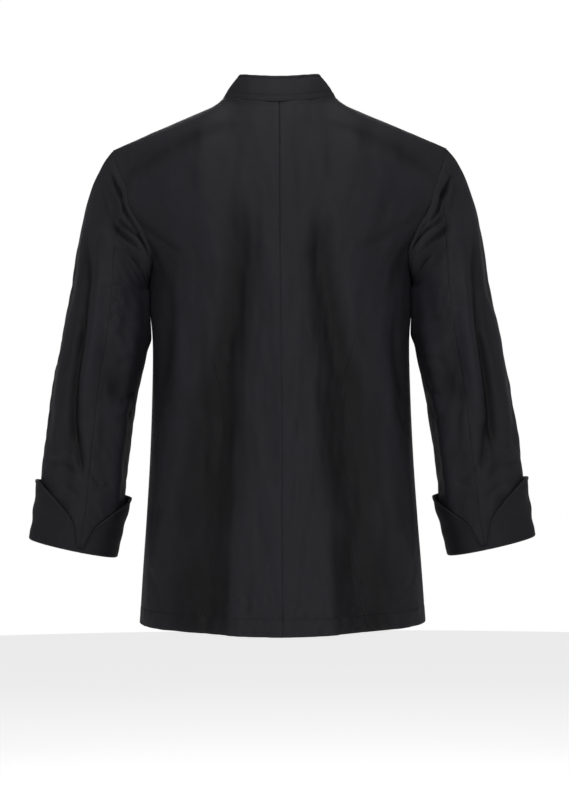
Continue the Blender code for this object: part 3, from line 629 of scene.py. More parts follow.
def body_surface(angle, level):
    """The body's cloth, and how far its folds stand out. angle is in degrees, as in neckline(). level is 0
    at the hem, 1 at the underarm and 2 at the shoulder seam and neckline."""
    degrees = angle
    angle = np.radians(angle)
    back = np.sin(angle)
    behind = back >= 0
    low, high = np.clip(level, 0, 1), np.clip(level - 1, 0, 1)
    hem_middle = np.where(behind, HEM_DROP_BACK, HEM_DROP_FRONT)
    hem = mix(HEM_DROP_SIDE, hem_middle, back**2)
    drop = mix(hem, CHEST_DROP, low)
    x, y, width = body_ring(angle, drop)

    top_x = x / width * SHOULDER_HALF
    top_y, top_z = softened_top_edge(top_x, behind, NECK_POINT_SPREAD * ease((1 - high) / 0.2))
    climb = np.sin(high * math.pi / 2)
    z = mix(-drop, top_z, climb)
    on_shoulder = ease((np.abs(top_x) - NECK_LEAN_HALF) / NECK_LEAN_BLEND)
    round_lean = np.maximum(1 - climb**SHOULDER_ROUNDNESS, 0) ** (1 / SHOULDER_ROUNDNESS)
    neck_lean = 1 - climb ** np.where(behind, NECK_LEAN_BACK, NECK_LEAN_FRONT)
    lean = mix(neck_lean, round_lean, on_shoulder)
    x = mix(x, top_x, ease(high / SHOULDER_FLARE))
    y = mix(top_y, y, lean)

    folds = np.where(behind, fold_depth(x, -z, BACK_FOLDS), fold_depth(x, -z, FRONT_FOLDS))
    folds = folds * np.abs(back) ** 0.5
    u, v = body_chart(degrees, -z)
    creases = np.where(behind, crease_depth(u, v, BACK_CREASES), crease_depth(u, v, FRONT_ROWS))
    creases = rippled(creases, u, v, BODY_RIPPLES)
    creases = rippled(creases, u, v, HEM_RIPPLES, share=ease((v - HEM_RIPPLE_DROP) / HEM_RIPPLE_GROWTH))
    # quiet beside the sleeve, at the armhole and at the edges that meet collar and sleeves
    beside = ease((np.abs(back) - 0.1) / 0.3)
    top = ease((2 - level) / 0.1)
    out = unit(level_out(angle, FLATNESS))
    relief = folds + creases * beside * top + side_swell(back, -z)
    return np.stack([x, y, z], -1) + out * relief[..., None], relief


def body_point(angle, level):
    return body_surface(angle, level)[0]


# ---------------------------------------------------------------- edges of the body's pieces
def armhole_angle(level):
    up = np.clip(level - 1, 0, 1)
    fall = 0.5 * (1 - ARMHOLE_WIDEST) / ARMHOLE_WIDEST
    peak = ARMHOLE_WIDEST**0.5 * (1 - ARMHOLE_WIDEST) ** fall
    return ARMHOLE_ANGLE * up**0.5 * (1 - up) ** fall / peak


def princess_angle(level):
    """The side-back seam, in degrees round the body."""
    drop = mix(HEM_DROP_BACK, CHEST_DROP, np.clip(level, 0, 1))
    x = read(PRINCESS, PRINCESS_COLUMNS, "x", drop)
    width = read(BODY, BODY_COLUMNS, "half_width", drop)
    depth = read(BODY, BODY_COLUMNS, "back", drop)
    y = depth * (1 - (x / width) ** RING_SQUARENESS) ** (1 / RING_SQUARENESS)
    below = np.degrees(np.arctan2(y, x))
    above = np.clip((level - 1) / (PRINCESS_LEVEL - 1), 0, 1)
    return mix(below, armhole_angle(np.array(PRINCESS_LEVEL)), above)


def overlap_angle(level):
    """Degrees from centre front to the free edge of a front."""
    straight = read(OVERLAP, OVERLAP_COLUMNS, "angle", level)
    slant = (2 - level) / (2 - FLAP_LEVEL)
    return straight * np.clip(slant, 0, 1)


def neck_point_share():
    """Share of the way from the middle to the side, at the underarm ring, of the neck points' column."""
    angles = np.radians(np.linspace(0, 90, 901))
    x, _, width = body_ring(angles, np.full(901, CHEST_DROP))
    at_neck = np.interp(NECK_HALF / SHOULDER_HALF, (x / width)[::-1], np.degrees(angles)[::-1])
    return (90 - at_neck) / 90


def coons(left, right, bottom, top, across, up):
    """Readings inside a four-sided patch of a surface, from the readings along its edges."""
    s, t = np.meshgrid(across, up)
    sides = mix(left(t), right(t), s[..., None])
    ends = mix(bottom(s), top(s), t[..., None])
    low = mix(left(0 * t), right(0 * t), s[..., None])
    high = mix(left(0 * t + 1), right(0 * t + 1), s[..., None])
    return sides + ends - mix(low, high, t[..., None])


def line(start, end):
    start, end = np.array(start, float), np.array(end, float)
    return lambda t: mix(start, end, np.asarray(t)[..., None])


def bent_line(start, middle, end, share):
    """As line(), but at `middle` when the reading is `share`."""
    stops = np.array([start, middle, end], float)
    return lambda t: np.stack([np.interp(t, [0, share, 1], stops[:, i]) for i in (0, 1)], -1)


def readings(angle, level):
    return np.stack(np.broadcast_arrays(angle, level), -1)


def steps(*stops):
    """Readings from the first stop through the others: (stop, count, stop, count, ...)."""
    found = [np.array([stops[0]], float)]
    for start, count, end in zip(stops[0::2], stops[1::2], stops[2::2]):
        found.append(np.linspace(start, end, count + 1)[1:])
    return np.concatenate(found)


def fine_ends(shares, length, sewn=()):
    """Adds closer steps to readings from 0 to 1, over a cloth of this length: beside both ends, and across
    each row of stitches, sewn at this distance from the start or, if it is below 0, from the end."""
    near = np.array(NEAR_EDGE) / length
    inner = shares[(shares > near[-1] * 1.25) & (shares < 1 - near[-1] * 1.25)]
    found = np.concatenate([near, inner, 1 - near[::-1]])
    for distance in sewn:
        middle = np.mod(distance / length, 1.0)
        across = middle + np.array(NEAR_STITCHES) / length
        found = found[np.abs(found - middle) > 1.3 * NEAR_STITCHES[-1] / length]
        found = np.sort(np.concatenate([found, across[(across > near[0]) & (across < 1 - near[0])]]))
    return np.concatenate([[0.0], found, [1.0]])


# ---------------------------------------------------------------- the sleeve's surface
def armhole_lengths(sign):
    """Levels down one half of the armhole, and the share of its length that lies above each."""
    levels = 2 - np.linspace(0, 1, 241) ** 1.5
    points = body_point(sign * armhole_angle(levels), levels)
    lengths = lengths_along(points)
    return levels, lengths / lengths[-1]


ARMHOLE_HALVES = {1: armhole_lengths(1), -1: armhole_lengths(-1)}


def armhole_point(angle):
    """A point of the armhole. 0 is the shoulder point, 90 the back, 180 the underarm, 270 the front."""
    angle = np.mod(angle, 360)
    down = np.where(angle <= 180, angle, 360 - angle) / 180
    found = []
    for sign in (1, -1):
        levels, shares = ARMHOLE_HALVES[sign]
        level = np.interp(down**ARMHOLE_CROWDING, shares, levels)
        found.append(body_point(sign * armhole_angle(level), level))
    return np.where((angle <= 180)[..., None], found[0], found[1])


def sleeve_ring(angle, row):
    """A point round the sleeve, where row is 0 at the biceps and counts the sections below it."""
    rows = [(float(i), *section) for i, section in enumerate(SLEEVE)]
    columns = ("row", *SLEEVE_COLUMNS)
    value = {c: read(rows, columns, c, row) for c in SLEEVE_COLUMNS}
    tilt = np.radians(value["tilt"])
    across = value["half_width"] * np.cos(angle)
    x = value["x"] + across * np.cos(tilt)
    z = value["z"] + across * np.sin(tilt)
    y = value["y"] + value["half_depth"] * np.sin(angle)
    return np.stack([x, y, z], -1)


def sleeve_fold_depth(angle, along):
    """Sum of the sleeve's large folds, each a straight run over the sleeve laid out flat, in degrees."""
    total = np.zeros(np.broadcast(angle, along).shape)
    for row in SLEEVE_FOLDS:
        fold = dict(zip(SLEEVE_FOLD_COLUMNS, row))
        rise = (fold["along_b"] - fold["along_a"]) * ALONG_DEGREES
        run = np.array([fold["angle_b"] - fold["angle_a"], rise])
        length = np.linalg.norm(run)
        around = angle - fold["angle_a"]
        down = (along - fold["along_a"]) * ALONG_DEGREES
        t = (around * run[0] + down * run[1]) / length**2
        off = (around * run[1] - down * run[0]) / length
        fade = ease((t + 0.15) / 0.35) * ease((1.15 - t) / 0.35)
        total = total + fold["depth"] * fade * ridge(off, fold["half_width"])
    return total


def sleeve_chart(angle, along):
    """Degrees round the sleeve, and millimetres down it from the armhole."""
    return angle, np.interp(along, [0, 1, 2], [0, CAP_LENGTH, CAP_LENGTH + ARM_LENGTH])


def other_sleeve(rows):
    """The creases of the other sleeve: the same kind, but never its mirror image."""
    changed = []
    for k, row in enumerate(rows):
        shift = 4 * math.sin(1.7 * k)
        slide = 6 * math.cos(2.3 * k)
        size = 1 + 0.25 * math.sin(3.1 * k + 1)
        c = dict(zip(CREASE_COLUMNS, row))
        c.update(u_a=c["u_a"] + shift, v_a=c["v_a"] + slide, depth=c["depth"] * size)
        c.update(u_b=c["u_b"] - shift, v_b=c["v_b"] + slide)
        changed.append(tuple(c.values()))
    return tuple(changed)


def seam_puckers(first):
    """Short puckers on one side or the other of the seam behind the arm, where it is eased in."""
    rng = np.random.default_rng(first)
    rows = []
    v = 124.0
    for _ in range(9):
        side = rng.choice((-1.0, 1.0))
        reach, lean = rng.uniform(8, 18), rng.uniform(-6, 6)
        depth = -rng.uniform(0.8, 1.6)
        rows.append((BACK_SEAM + side, v, BACK_SEAM + side * reach, v + lean, 0.5, depth, 2.6, 3.2))
        v += rng.uniform(4.0, 11.0)
    return tuple(rows)


SLEEVE_ROWS = {
    False: SLEEVE_CREASES + seam_puckers(5),
    True: other_sleeve(SLEEVE_CREASES) + seam_puckers(6),
}


def sleeve_surface(angle, along, mirrored=False):
    """The left sleeve's cloth, and how far its folds stand out. angle is as in armhole_point(). along is 0
    at the armhole, 1 at the biceps and 2 at the end."""
    angle = np.mod(angle, 360)
    turn = np.radians(angle)
    rows = len(SLEEVE) - 1
    ring = sleeve_ring(turn, np.clip(along - 1, 0, 1) * rows)
    biceps = sleeve_ring(turn, np.zeros_like(along))
    tilt = math.radians(SLEEVE[0][SLEEVE_COLUMNS.index("tilt")])

    # The cap leaves the armhole outward, except under the arm, where it leaves straight down.
    outward = ease(np.abs(180 - angle) / 95)
    start = armhole_point(angle)
    out = np.stack([outward * 0.95 + 0.05, 0.4 * np.sin(turn) * outward, -1.05 + 0.1 * outward], -1)
    reach = np.linalg.norm(biceps - start, axis=-1)[..., None]
    leave = unit(out) * reach * CAP_FULLNESS
    arrive = np.array([math.sin(tilt), 0, -math.cos(tilt)]) * reach * CAP_FULLNESS
    t = np.clip(along, 0, 1)[..., None]
    cap = start * (1 + 2 * t) * (1 - t) ** 2 + biceps * t * t * (3 - 2 * t)
    cap = cap + leave * t * (1 - t) ** 2 - arrive * t * t * (1 - t)
    point = np.where((along < 1)[..., None], cap, ring)

    folds = sleeve_fold_depth(angle, along)
    u, v = sleeve_chart(angle, along)
    creases = SLEEVE_ROWS[mirrored]
    folds = folds + crease_depth(u, v, creases, ROUND) + crease_depth(u - 360, v, creases, ROUND)
    around, down = np.cos(turn) * SLEEVE_RADIUS, v + np.sin(turn) * SLEEVE_RADIUS
    folds = rippled(folds, around, down, SLEEVE_RIPPLES, mirrored)
    folds = folds * ease(along / 0.1)
    point = point + level_out(turn) * folds[..., None]

    # Off the seam's edge, and clear of the side of the body that it hangs against.
    seam_gap = mix(0.15, 0.6, ease(along / 0.12)) * ease((1 - along) / 0.3)
    off = np.stack([0.9 + 0 * turn, 0.45 * np.sin(turn), -0.4 + 0 * turn], -1)
    point = point + off * seam_gap[..., None]
    drop = np.maximum(-point[..., 2], CHEST_DROP)
    wall = body_side(point[..., 1], drop)
    wall = wall + side_swell(point[..., 1] / np.hypot(wall, point[..., 1]), drop) + CLOTH + SLEEVE_CLEARANCE
    over = point[..., 0] - wall
    soft = wall + 0.5 * (over + np.sqrt(over**2 + 2.0))
    hang = ease((-point[..., 2] - CHEST_DROP + 55) / 40)
    point[..., 0] = mix(point[..., 0], soft, hang)
    return point, folds


# ---------------------------------------------------------------- cuff and collar
def cuff_edge_height(angle):
    """Height of the cuff's free edge at this angle round the sleeve."""
    half_turn = np.abs(np.mod(angle - CUFF_NOTCH + 180, 360) - 180)
    width = SLEEVE[-1][SLEEVE_COLUMNS.index("half_width")]
    distance = np.radians(half_turn) * width
    return read(CUFF_EDGE, CUFF_COLUMNS, "height", np.minimum(distance, CUFF_EDGE[-1][0]))


def cuff_point(angle, height):
    """The left cuff. Below 0 it rolls under the end of the sleeve."""
    turn = np.radians(angle)
    rows = len(SLEEVE) - 1
    last, above = np.array(SLEEVE[-1]), np.array(SLEEVE[-2])
    row_length = np.linalg.norm((last - above)[:3])
    up = np.maximum(height, 0)
    ring = sleeve_ring(turn, rows - up / row_length)
    roll = np.clip(-height, 0, 1) * math.pi / 2
    share = up / CUFF_HEIGHT
    inner_tip = ridge(np.mod(angle, 360) - 172, 30) * 4.5
    outer_tip = ridge(np.mod(angle + 180, 360) - 185, 26) * 1.5
    tip = inner_tip + outer_tip
    lift = CUFF_LIFT * np.cos(roll) + CUFF_FLARE * ease(share) + tip * share**3
    lift = lift + ripples(angle * ROUND, up, 21, 38.0) * 0.7 * ease(up / 14)
    tilt = math.radians(SLEEVE[-1][SLEEVE_COLUMNS.index("tilt")])
    across = np.array([math.cos(tilt), 0, math.sin(tilt)])
    fore = np.array([0.0, 1.0, 0.0])
    down = np.array([math.sin(tilt), 0, -math.cos(tilt)])
    side = unit(np.cos(turn)[..., None] * across + np.sin(turn)[..., None] * fore)
    return ring + side * lift[..., None] + down * (CUFF_LIFT * np.sin(roll))[..., None]


def collar_chart(angle, height):
    """Millimetres round the collar and up it."""
    return angle * COLLAR_ROUND, height * COLLAR_HEIGHT


def collar_point(angle, height):
    """The stand collar: height is 0 at its seam and 1 at its free edge."""
    turn = np.radians(angle)
    side, back = np.cos(turn), np.sin(turn)
    behind = back >= 0
    seam = neckline(turn)
    seam = seam + level_out(turn) * COLLAR_PROUD - np.array([0.0, 0.0, COLLAR_OVERHANG])
    y = back * np.where(behind, COLLAR_TOP_BACK, COLLAR_TOP_FRONT)
    front_rise = NECK_RISE - NECK_DIP_FRONT + COLLAR_FRONT_HEIGHT
    z_back = mix(COLLAR_TOP_RISE, COLLAR_BACK_RISE, back**2)
    z_front = mix(COLLAR_TOP_RISE, front_rise, np.abs(back) ** 1.5)
    top = np.stack([COLLAR_TOP_HALF * side, y, np.where(behind, z_back, z_front)], -1)
    swell = np.sin(height * math.pi) * 1.5
    u, v = collar_chart(angle, height)
    swell = swell + ripples(u, v, 31, 30.0) * 0.5 * np.sin(height * math.pi)
    bulge = level_out(turn) * swell[..., None]
    return mix(seam, top, np.asarray(height)[..., None]) + bulge


# ---------------------------------------------------------------- shells of cloth
def trim(points, gap, ends=True):
    """Draws the sides of a grid of points in by this gap, and its ends too unless told not to."""
    moved = points.copy()
    moved[:, 0] += unit(points[:, 1] - points[:, 0]) * gap
    moved[:, -1] += unit(points[:, -2] - points[:, -1]) * gap
    if ends:
        moved[0] += unit(points[1] - points[0]) * gap
        moved[-1] += unit(points[-2] - points[-1]) * gap
    return moved


def grid_normals(points, outward, round_about=False):
    """Unit normals of a grid of points, on the side of the rough directions `outward`."""
    if round_about:
        wide = np.concatenate([points[:, -1:], points, points[:, :1]], axis=1)
        across = np.gradient(wide, axis=1)[:, 1:-1]
    else:
        across = np.gradient(points, axis=1)
    normals = unit(np.cross(across, np.gradient(points, axis=0)))
    if (normals * outward).sum(-1).mean() < 0:
        normals = -normals
    return normals


def along_from(points, axis, far):
    """Distance of each point of the grid from its first (or, if far, last) row or column."""
    runs = np.linalg.norm(np.diff(points, axis=axis), axis=-1)
    pad = [(0, 0), (0, 0)]
    pad[axis] = (1, 0)
    total = np.cumsum(np.pad(runs, pad), axis=axis)
    if not far:
        return total
    whole = total[-1:] if axis == 0 else total[:, -1:]
    return whole - total


SIDES = {"bottom": (0, False), "top": (0, True), "left": (1, False), "right": (1, True)}


class Cloth:
    """A piece's grid: the middle of its cloth, normals to the outside, half thickness, wear and painted fold
    shade.
    """

    def __init__(self, name, points, outward, edges, chart, relief, round_about=False):
        self.name, self.edges, self.round_about = name, edges, round_about
        self.chart = chart
        # painted shade from the folds: 0 deep in a trough or at the collar seam, 1 on flat cloth and ridges,
        # where the colour is palest
        self.painted_fold_shade = ease((relief + DEEP_FOLD) / (DEEP_FOLD + HIGH_FOLD))
        normals = grid_normals(points, outward, round_about)
        rise, turned = np.zeros(points.shape[:2]), np.zeros(points.shape[:2])
        self.half = np.full(points.shape[:2], SHEET / 2)
        self.wear = np.zeros(points.shape[:2])
        self.distance = {}
        for side, kind in edges.items():
            rule = EDGE[kind]
            axis, far = SIDES[side]
            d = along_from(points, axis, far)
            self.distance[side] = d
            run = along_from(points, 1 - axis, False)
            seed = sum(map(ord, name + side))
            waves = ripples(run, d * 0.4, seed, PUCKER_LENGTH, waves=9)
            waves = waves * (0.6 + 0.4 * ripples(run, 0 * d, seed + 1, PUCKER_CHANGE))
            whole = along_from(points, 1 - axis, True)
            quiet = ease(np.minimum(run, whole) / PUCKER_QUIET)
            turned = np.maximum(turned, rule["turn"] * np.exp(-((d / rule["width"]) ** 2)))
            rise += rule["pucker"] * waves * np.exp(-d / PUCKER_REACH) * quiet
            if rule["stitches"]:
                off = d - rule["stitches"]
                turned_in = ease((rule["stitches"] - d) / TURNED_STEP + 0.5)
                rise += rule["extra"] * turned_in
                self.half += rule["extra"] * 0.6 * turned_in
                rise -= STITCH_GROOVE * np.exp(-((off / STITCH_GROOVE_WIDTH) ** 2))
                rise += rule["pucker"] * 0.9 * waves * np.exp(-np.abs(off) / STITCH_PUCKER_REACH)
                self.wear = np.maximum(self.wear, np.exp(-d / WEAR_REACH))
        self.middle = points + normals * (rise - turned)[..., None]
        self.normals = grid_normals(self.middle, outward, round_about)

    def outer(self):
        return self.middle + self.normals * self.half[..., None]

    def shell(self, mirrored=False):
        """Vertices and faces: the outside, the inside, and a rounded rim between them."""
        rows, columns = self.middle.shape[:2]
        flip = mirror(mirrored)
        lift = self.normals * self.half[..., None]
        outer, inner = (self.middle + lift) * flip, (self.middle - lift) * flip
        count = rows * columns
        index = np.arange(count).reshape(rows, columns)
        if self.round_about:
            wrap = np.concatenate([index, index[:, :1]], axis=1)
        else:
            wrap = index
        a, b, c, d = wrap[:-1, :-1], wrap[:-1, 1:], wrap[1:, 1:], wrap[1:, :-1]
        faces = [np.stack([a, b, c, d], -1).reshape(-1, 4)]
        faces.append(np.stack([a, d, c, b], -1).reshape(-1, 4) + count)
        loops = self.rim_loops(index)
        rim_points, rim_from = [], []
        base = 2 * count
        for loop, beyond in loops:
            ring = loop.ravel()
            middle = self.middle.reshape(-1, 3)[ring]
            inward = middle - self.middle.reshape(-1, 3)[beyond.ravel()]
            roundness = mix(SEAM_ROUNDNESS, EDGE_ROUNDNESS, self.wear.ravel()[ring])
            push = unit(inward) * (self.half.ravel()[ring] * roundness)[:, None]
            rim_points.append((middle + push) * flip)
            rim_from.append(ring)
            own = base + np.arange(len(ring))
            base += len(ring)
            nxt, own_next = np.roll(ring, -1), np.roll(own, -1)
            faces.append(np.stack([nxt, ring, own, own_next], -1))
            faces.append(np.stack([own_next, own, ring + count, nxt + count], -1))
        points = np.concatenate([outer.reshape(-1, 3), inner.reshape(-1, 3), *rim_points])
        source = np.concatenate([index.ravel(), index.ravel(), *rim_from])
        return points * MM, np.concatenate(faces), source

    def rim_loops(self, index):
        """Closed loops of border points, each with its neighbour further in."""
        if self.round_about:
            return [(index[0], index[1]), (index[-1][::-1], index[-2][::-1])]
        ring = np.concatenate([index[0, :-1], index[:-1, -1], index[-1, :0:-1], index[:0:-1, 0]])
        inner = np.concatenate([index[1, :-1], index[:-1, -2], index[-2, :0:-1], index[:0:-1, 1]])
        corners = (index[0, 0], index[0, -1], index[-1, -1], index[-1, 0])
        diagonals = (index[1, 1], index[1, -2], index[-2, -2], index[-2, 1])
        for corner, diagonal in zip(corners, diagonals):
            inner[ring == corner] = diagonal
        return [(ring, inner)]

    def rows_of_stitches(self, side, mirrored=False):
        """Points and normals of each line at the stitches' distance from one side. They leave out the
        columns where the cloth is too narrow for them."""
        axis, far = SIDES[side]
        d = self.distance[side]
        want = EDGE[self.edges[side]]["stitches"]
        outer, normals = self.outer(), self.normals
        if axis == 1:
            d, outer, normals = d.T, outer.swapaxes(0, 1), normals.swapaxes(0, 1)
        if far:
            d, outer, normals = d[::-1], outer[::-1], normals[::-1]
        wide = np.flatnonzero(d[-1] >= want * 1.5)
        flip = mirror(mirrored)
        lines = []
        for columns in np.split(wide, np.flatnonzero(np.diff(wide) > 1) + 1):
            found = [[np.interp(want, d[:, j], outer[:, j, k]) for k in range(3)] for j in columns]
            facing = [[np.interp(want, d[:, j], normals[:, j, k]) for k in range(3)] for j in columns]
            lines.append((np.array(found) * flip, unit(np.array(facing)) * flip))
        return lines


def mesh_from(name, points, faces):
    """A smooth mesh, its faces turned to the outside."""
    mesh = bpy.data.meshes.new(name)
    mesh.from_pydata(points.tolist(), [], [tuple(int(i) for i in face) for face in faces])
    made = bmesh.new()
    made.from_mesh(mesh)
    bmesh.ops.recalc_face_normals(made, faces=made.faces)
    made.to_mesh(mesh)
    made.free()
    mesh.shade_smooth()
    return mesh


def add_piece(name, mesh, material, nodes=()):
    mesh.materials.append(material)
    made = bpy.data.objects.new(name, mesh)
    bpy.context.scene.collection.objects.link(made)
    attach(made, "root")
    if nodes:
        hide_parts(*nodes)
    return made


def add_attribute(mesh, name, kind, values):
    attribute = mesh.attributes.new(name, kind, "POINT")
    field = "value" if kind == "FLOAT" else "vector"
    attribute.data.foreach_set(field, np.asarray(values, np.float32).ravel())


def tube(centres, across, over, radii, sides):
    """Points and faces of a closed round tube through these centres."""
    around = 2 * math.pi * np.arange(sides) / sides
    circle = np.cos(around)[None, :, None] * across[:, None] + np.sin(around)[None, :, None] * over[:, None]
    rings = centres[:, None] + radii[:, None, None] * circle
    faces = []
    for i in range(len(centres) - 1):
        for s in range(sides):
            a, n = i * sides, (s + 1) % sides
            faces.append((a + s, a + n, a + sides + n, a + sides + s))
    last = (len(centres) - 1) * sides
    faces.append(tuple(range(sides))[::-1])
    faces.append(tuple(last + s for s in range(sides)))
    return rings.reshape(-1, 3), faces


def tubes_mesh(name, tubes):
    """One mesh of many tubes."""
    points, faces, total = [], [], 0
    for own_points, own_faces in tubes:
        points.append(own_points)
        faces += [tuple(i + total for i in face) for face in own_faces]
        total += len(own_points)
    return mesh_from(name, np.concatenate(points) * MM, faces)


def stitch_mesh(name, lines):
    """Separate stitches, each a small thread that dips into the cloth at both ends."""
    share, thickness, lift = np.array(STITCH_PROFILE).T
    tubes = []
    for path, normals in lines:
        run = lengths_along(path)
        count = int(run[-1] // STITCH_PITCH)
        for k in range(count):
            at = (k + 0.5) * run[-1] / count - STITCH_LENGTH / 2
            places = at + STITCH_LENGTH * share
            centre = np.stack([np.interp(places, run, path[:, i]) for i in range(3)], -1)
            up = unit(np.stack([np.interp(places, run, normals[:, i]) for i in range(3)], -1))
            across = unit(np.cross(unit(np.gradient(centre, axis=0)), up))
            centre = centre + up * (lift + STITCH_PROUD)[:, None]
            tubes.append(tube(centre, across, up, STITCH_RADIUS * thickness, 6))
    return tubes_mesh(name, tubes)


def add_cloth(cloth, material, cad_node, stitched=(), mirrored=False, *, flat, area, held="hung"):
    """Adds a piece of cloth and the stitches on it. Its cut, given as flat, area and held, is not used."""
    points, faces, source = cloth.shell(mirrored)
    mesh = mesh_from(cloth.name, points, faces)
    u, v = (np.broadcast_to(c, cloth.middle.shape[:2]).ravel()[source] * MM for c in cloth.chart)
    add_attribute(mesh, "grain", "FLOAT_VECTOR", np.stack([u, v, 0 * u], -1))
    add_attribute(mesh, "wear", "FLOAT", cloth.wear.ravel()[source])
    # painted fold shade, darker in the troughs and paler on the ridges
    add_attribute(mesh, "painted_fold_shade", "FLOAT", cloth.painted_fold_shade.ravel()[source])
    made = add_piece(cloth.name, mesh, material, (cad_node,))
    if stitched:
        rows = [row for side in stitched for row in cloth.rows_of_stitches(side, mirrored)]
        name = "stitches_" + cad_node
        add_piece(name, stitch_mesh(name, rows), MATERIALS["thread"])
    return made


# ---------------------------------------------------------------- materials
def set_values(made, values):
    """Sets a node's own values, and its inputs, whose names have _ for a space."""
    for name, value in values.items():
        if hasattr(made, name):
            setattr(made, name, value)
        else:
            made.inputs[name.replace("_", " ")].default_value = value


def node(tree, kind, **values):
    made = tree.nodes.new(kind)
    set_values(made, values)
    return made


def mixed(tree, **ends):
    """A node that mixes two colours."""
    colours = {name: (*colour, 1.0) for name, colour in ends.items()}
    return node(tree, "ShaderNodeMix", data_type="RGBA", **colours)


def new_material(name, **values):
    """A material, its nodes and its shader, with these values on the shader's own inputs."""
    material = bpy.data.materials.new(name)
    material.use_nodes = True
    tree = material.node_tree
    shader = tree.nodes["Principled BSDF"]
    set_values(shader, values)
    return material, tree, shader


def multiply_add(tree, value, factor, added):
    made = node(tree, "ShaderNodeMath", operation="MULTIPLY_ADD")
    made.inputs[1].default_value = factor
    tree.links.new(value, made.inputs[0])
    tree.links.new(added, made.inputs[2])
    return made.outputs["Value"]


def mottle(tree, shader, texture, dark, light, strength):
    """Lets a texture, read where it lies on the piece, vary the colour and raise a fine bump."""
    link = tree.links.new
    link(node(tree, "ShaderNodeTexCoord").outputs["Object"], texture.inputs["Vector"])
    colour = mixed(tree, A=dark, B=light)
    link(texture.outputs["Fac"], colour.inputs["Factor"])
    link(colour.outputs["Result"], shader.inputs["Base Color"])
    bump = node(tree, "ShaderNodeBump", Strength=strength, Distance=0.0001)
    link(texture.outputs["Fac"], bump.inputs["Height"])
    link(bump.outputs["Normal"], shader.inputs["Normal"])


def uneven_roughness(tree, shader, texture, low, high):
    rough = node(tree, "ShaderNodeMapRange", To_Min=low, To_Max=high)
    tree.links.new(texture.outputs["Fac"], rough.inputs["Value"])
    tree.links.new(rough.outputs["Result"], shader.inputs["Roughness"])


def twill_material(name, deep, pale, seed):
    """Black twill: fine diagonal ribs, uneven colour, painted shade from the folds (darker in the troughs,
    paler on the ridges), and worn edges.
    """
    sheen = {"Sheen_Weight": 0.015, "Sheen_Roughness": 0.45, "Sheen_Tint": (0.8, 0.8, 0.86, 1.0)}
    material, tree, shader = new_material(name, Specular_IOR_Level=0.36, **sheen)
    link = tree.links.new
    read_names = ("grain", "wear", "painted_fold_shade")
    grain, wear, painted_fold_shade = (node(tree, "ShaderNodeAttribute", attribute_name=n) for n in read_names)
    clouds = node(tree, "ShaderNodeTexNoise", Scale=14.0 + seed, Detail=8.0, Roughness=0.72)
    flecks = node(tree, "ShaderNodeTexNoise", Scale=900.0, Detail=2.0, Roughness=0.5)
    for texture in (clouds, flecks):
        link(grain.outputs["Vector"], texture.inputs["Vector"])

    # the colour: clouds and flecks for uneven colour, then painted shade from the folds, darker in the
    # troughs and paler on the ridges
    uneven = multiply_add(tree, flecks.outputs["Fac"], 0.5, clouds.outputs["Fac"])
    span = node(tree, "ShaderNodeMapRange", From_Min=0.6, From_Max=2.0)
    link(multiply_add(tree, painted_fold_shade.outputs["Fac"], 1.0, uneven), span.inputs["Value"])
    dye_and_fold_shade = mixed(tree, A=deep, B=pale)
    link(span.outputs["Result"], dye_and_fold_shade.inputs["Factor"])

    worn = mixed(tree, B=(0.03, 0.029, 0.031))
    amount = node(tree, "ShaderNodeMath", operation="MULTIPLY")
    link(wear.outputs["Fac"], amount.inputs[0])
    link(flecks.outputs["Fac"], amount.inputs[1])
    link(amount.outputs["Value"], worn.inputs["Factor"])
    link(dye_and_fold_shade.outputs["Result"], worn.inputs["A"])
    link(worn.outputs["Result"], shader.inputs["Base Color"])
    uneven_roughness(tree, shader, clouds, 0.54, 0.66)

    turned = node(tree, "ShaderNodeMapping", Rotation=(0.0, 0.0, math.radians(63)))
    ribs = node(tree, "ShaderNodeTexWave", Scale=380.0, Distortion=1.2, Detail=2.0)
    link(grain.outputs["Vector"], turned.inputs["Vector"])
    link(turned.outputs["Vector"], ribs.inputs["Vector"])
    soft = node(tree, "ShaderNodeTexNoise", Scale=240.0, Detail=3.0, Roughness=0.55)
    link(grain.outputs["Vector"], soft.inputs["Vector"])
    weave = node(tree, "ShaderNodeBump", Strength=0.35, Distance=0.0003)
    slub = node(tree, "ShaderNodeBump", Strength=0.35, Distance=0.0006)
    link(ribs.outputs["Fac"], weave.inputs["Height"])
    link(soft.outputs["Fac"], slub.inputs["Height"])
    link(weave.outputs["Normal"], slub.inputs["Normal"])
    link(slub.outputs["Normal"], shader.inputs["Normal"])
    return material


def thread_material():
    """Black sewing thread, duller than the buttons."""
    material, tree, shader = new_material("black_thread", Roughness=0.6, Specular_IOR_Level=0.3)
    twist = node(tree, "ShaderNodeTexWave", Scale=700.0, Distortion=2.0)
    mottle(tree, shader, twist, (0.008, 0.0077, 0.009), (0.021, 0.0202, 0.023), 0.4)
    return material


def plastic_material():
    """Satin black moulded plastic with fine scuffs."""
    material, tree, shader = new_material("black_plastic")
    scuffs = node(tree, "ShaderNodeTexNoise", Scale=420.0, Detail=4.0, Roughness=0.65)
    mottle(tree, shader, scuffs, (0.014, 0.014, 0.016), (0.03, 0.03, 0.033), 0.15)
    uneven_roughness(tree, shader, scuffs, 0.28, 0.5)
    return material


MATERIALS = {
    "body": twill_material("black_twill", (0.003, 0.0027, 0.0042), (0.024, 0.0219, 0.0294), 0.0),
    # the cuffs' copy of the twill is darker: painted shade on the cuffs
    "cuff": twill_material("black_twill_cuff", (0.002, 0.0018, 0.003), (0.018, 0.0165, 0.0218), 2.0),
    "thread": thread_material(),
    "plastic": plastic_material(),
}


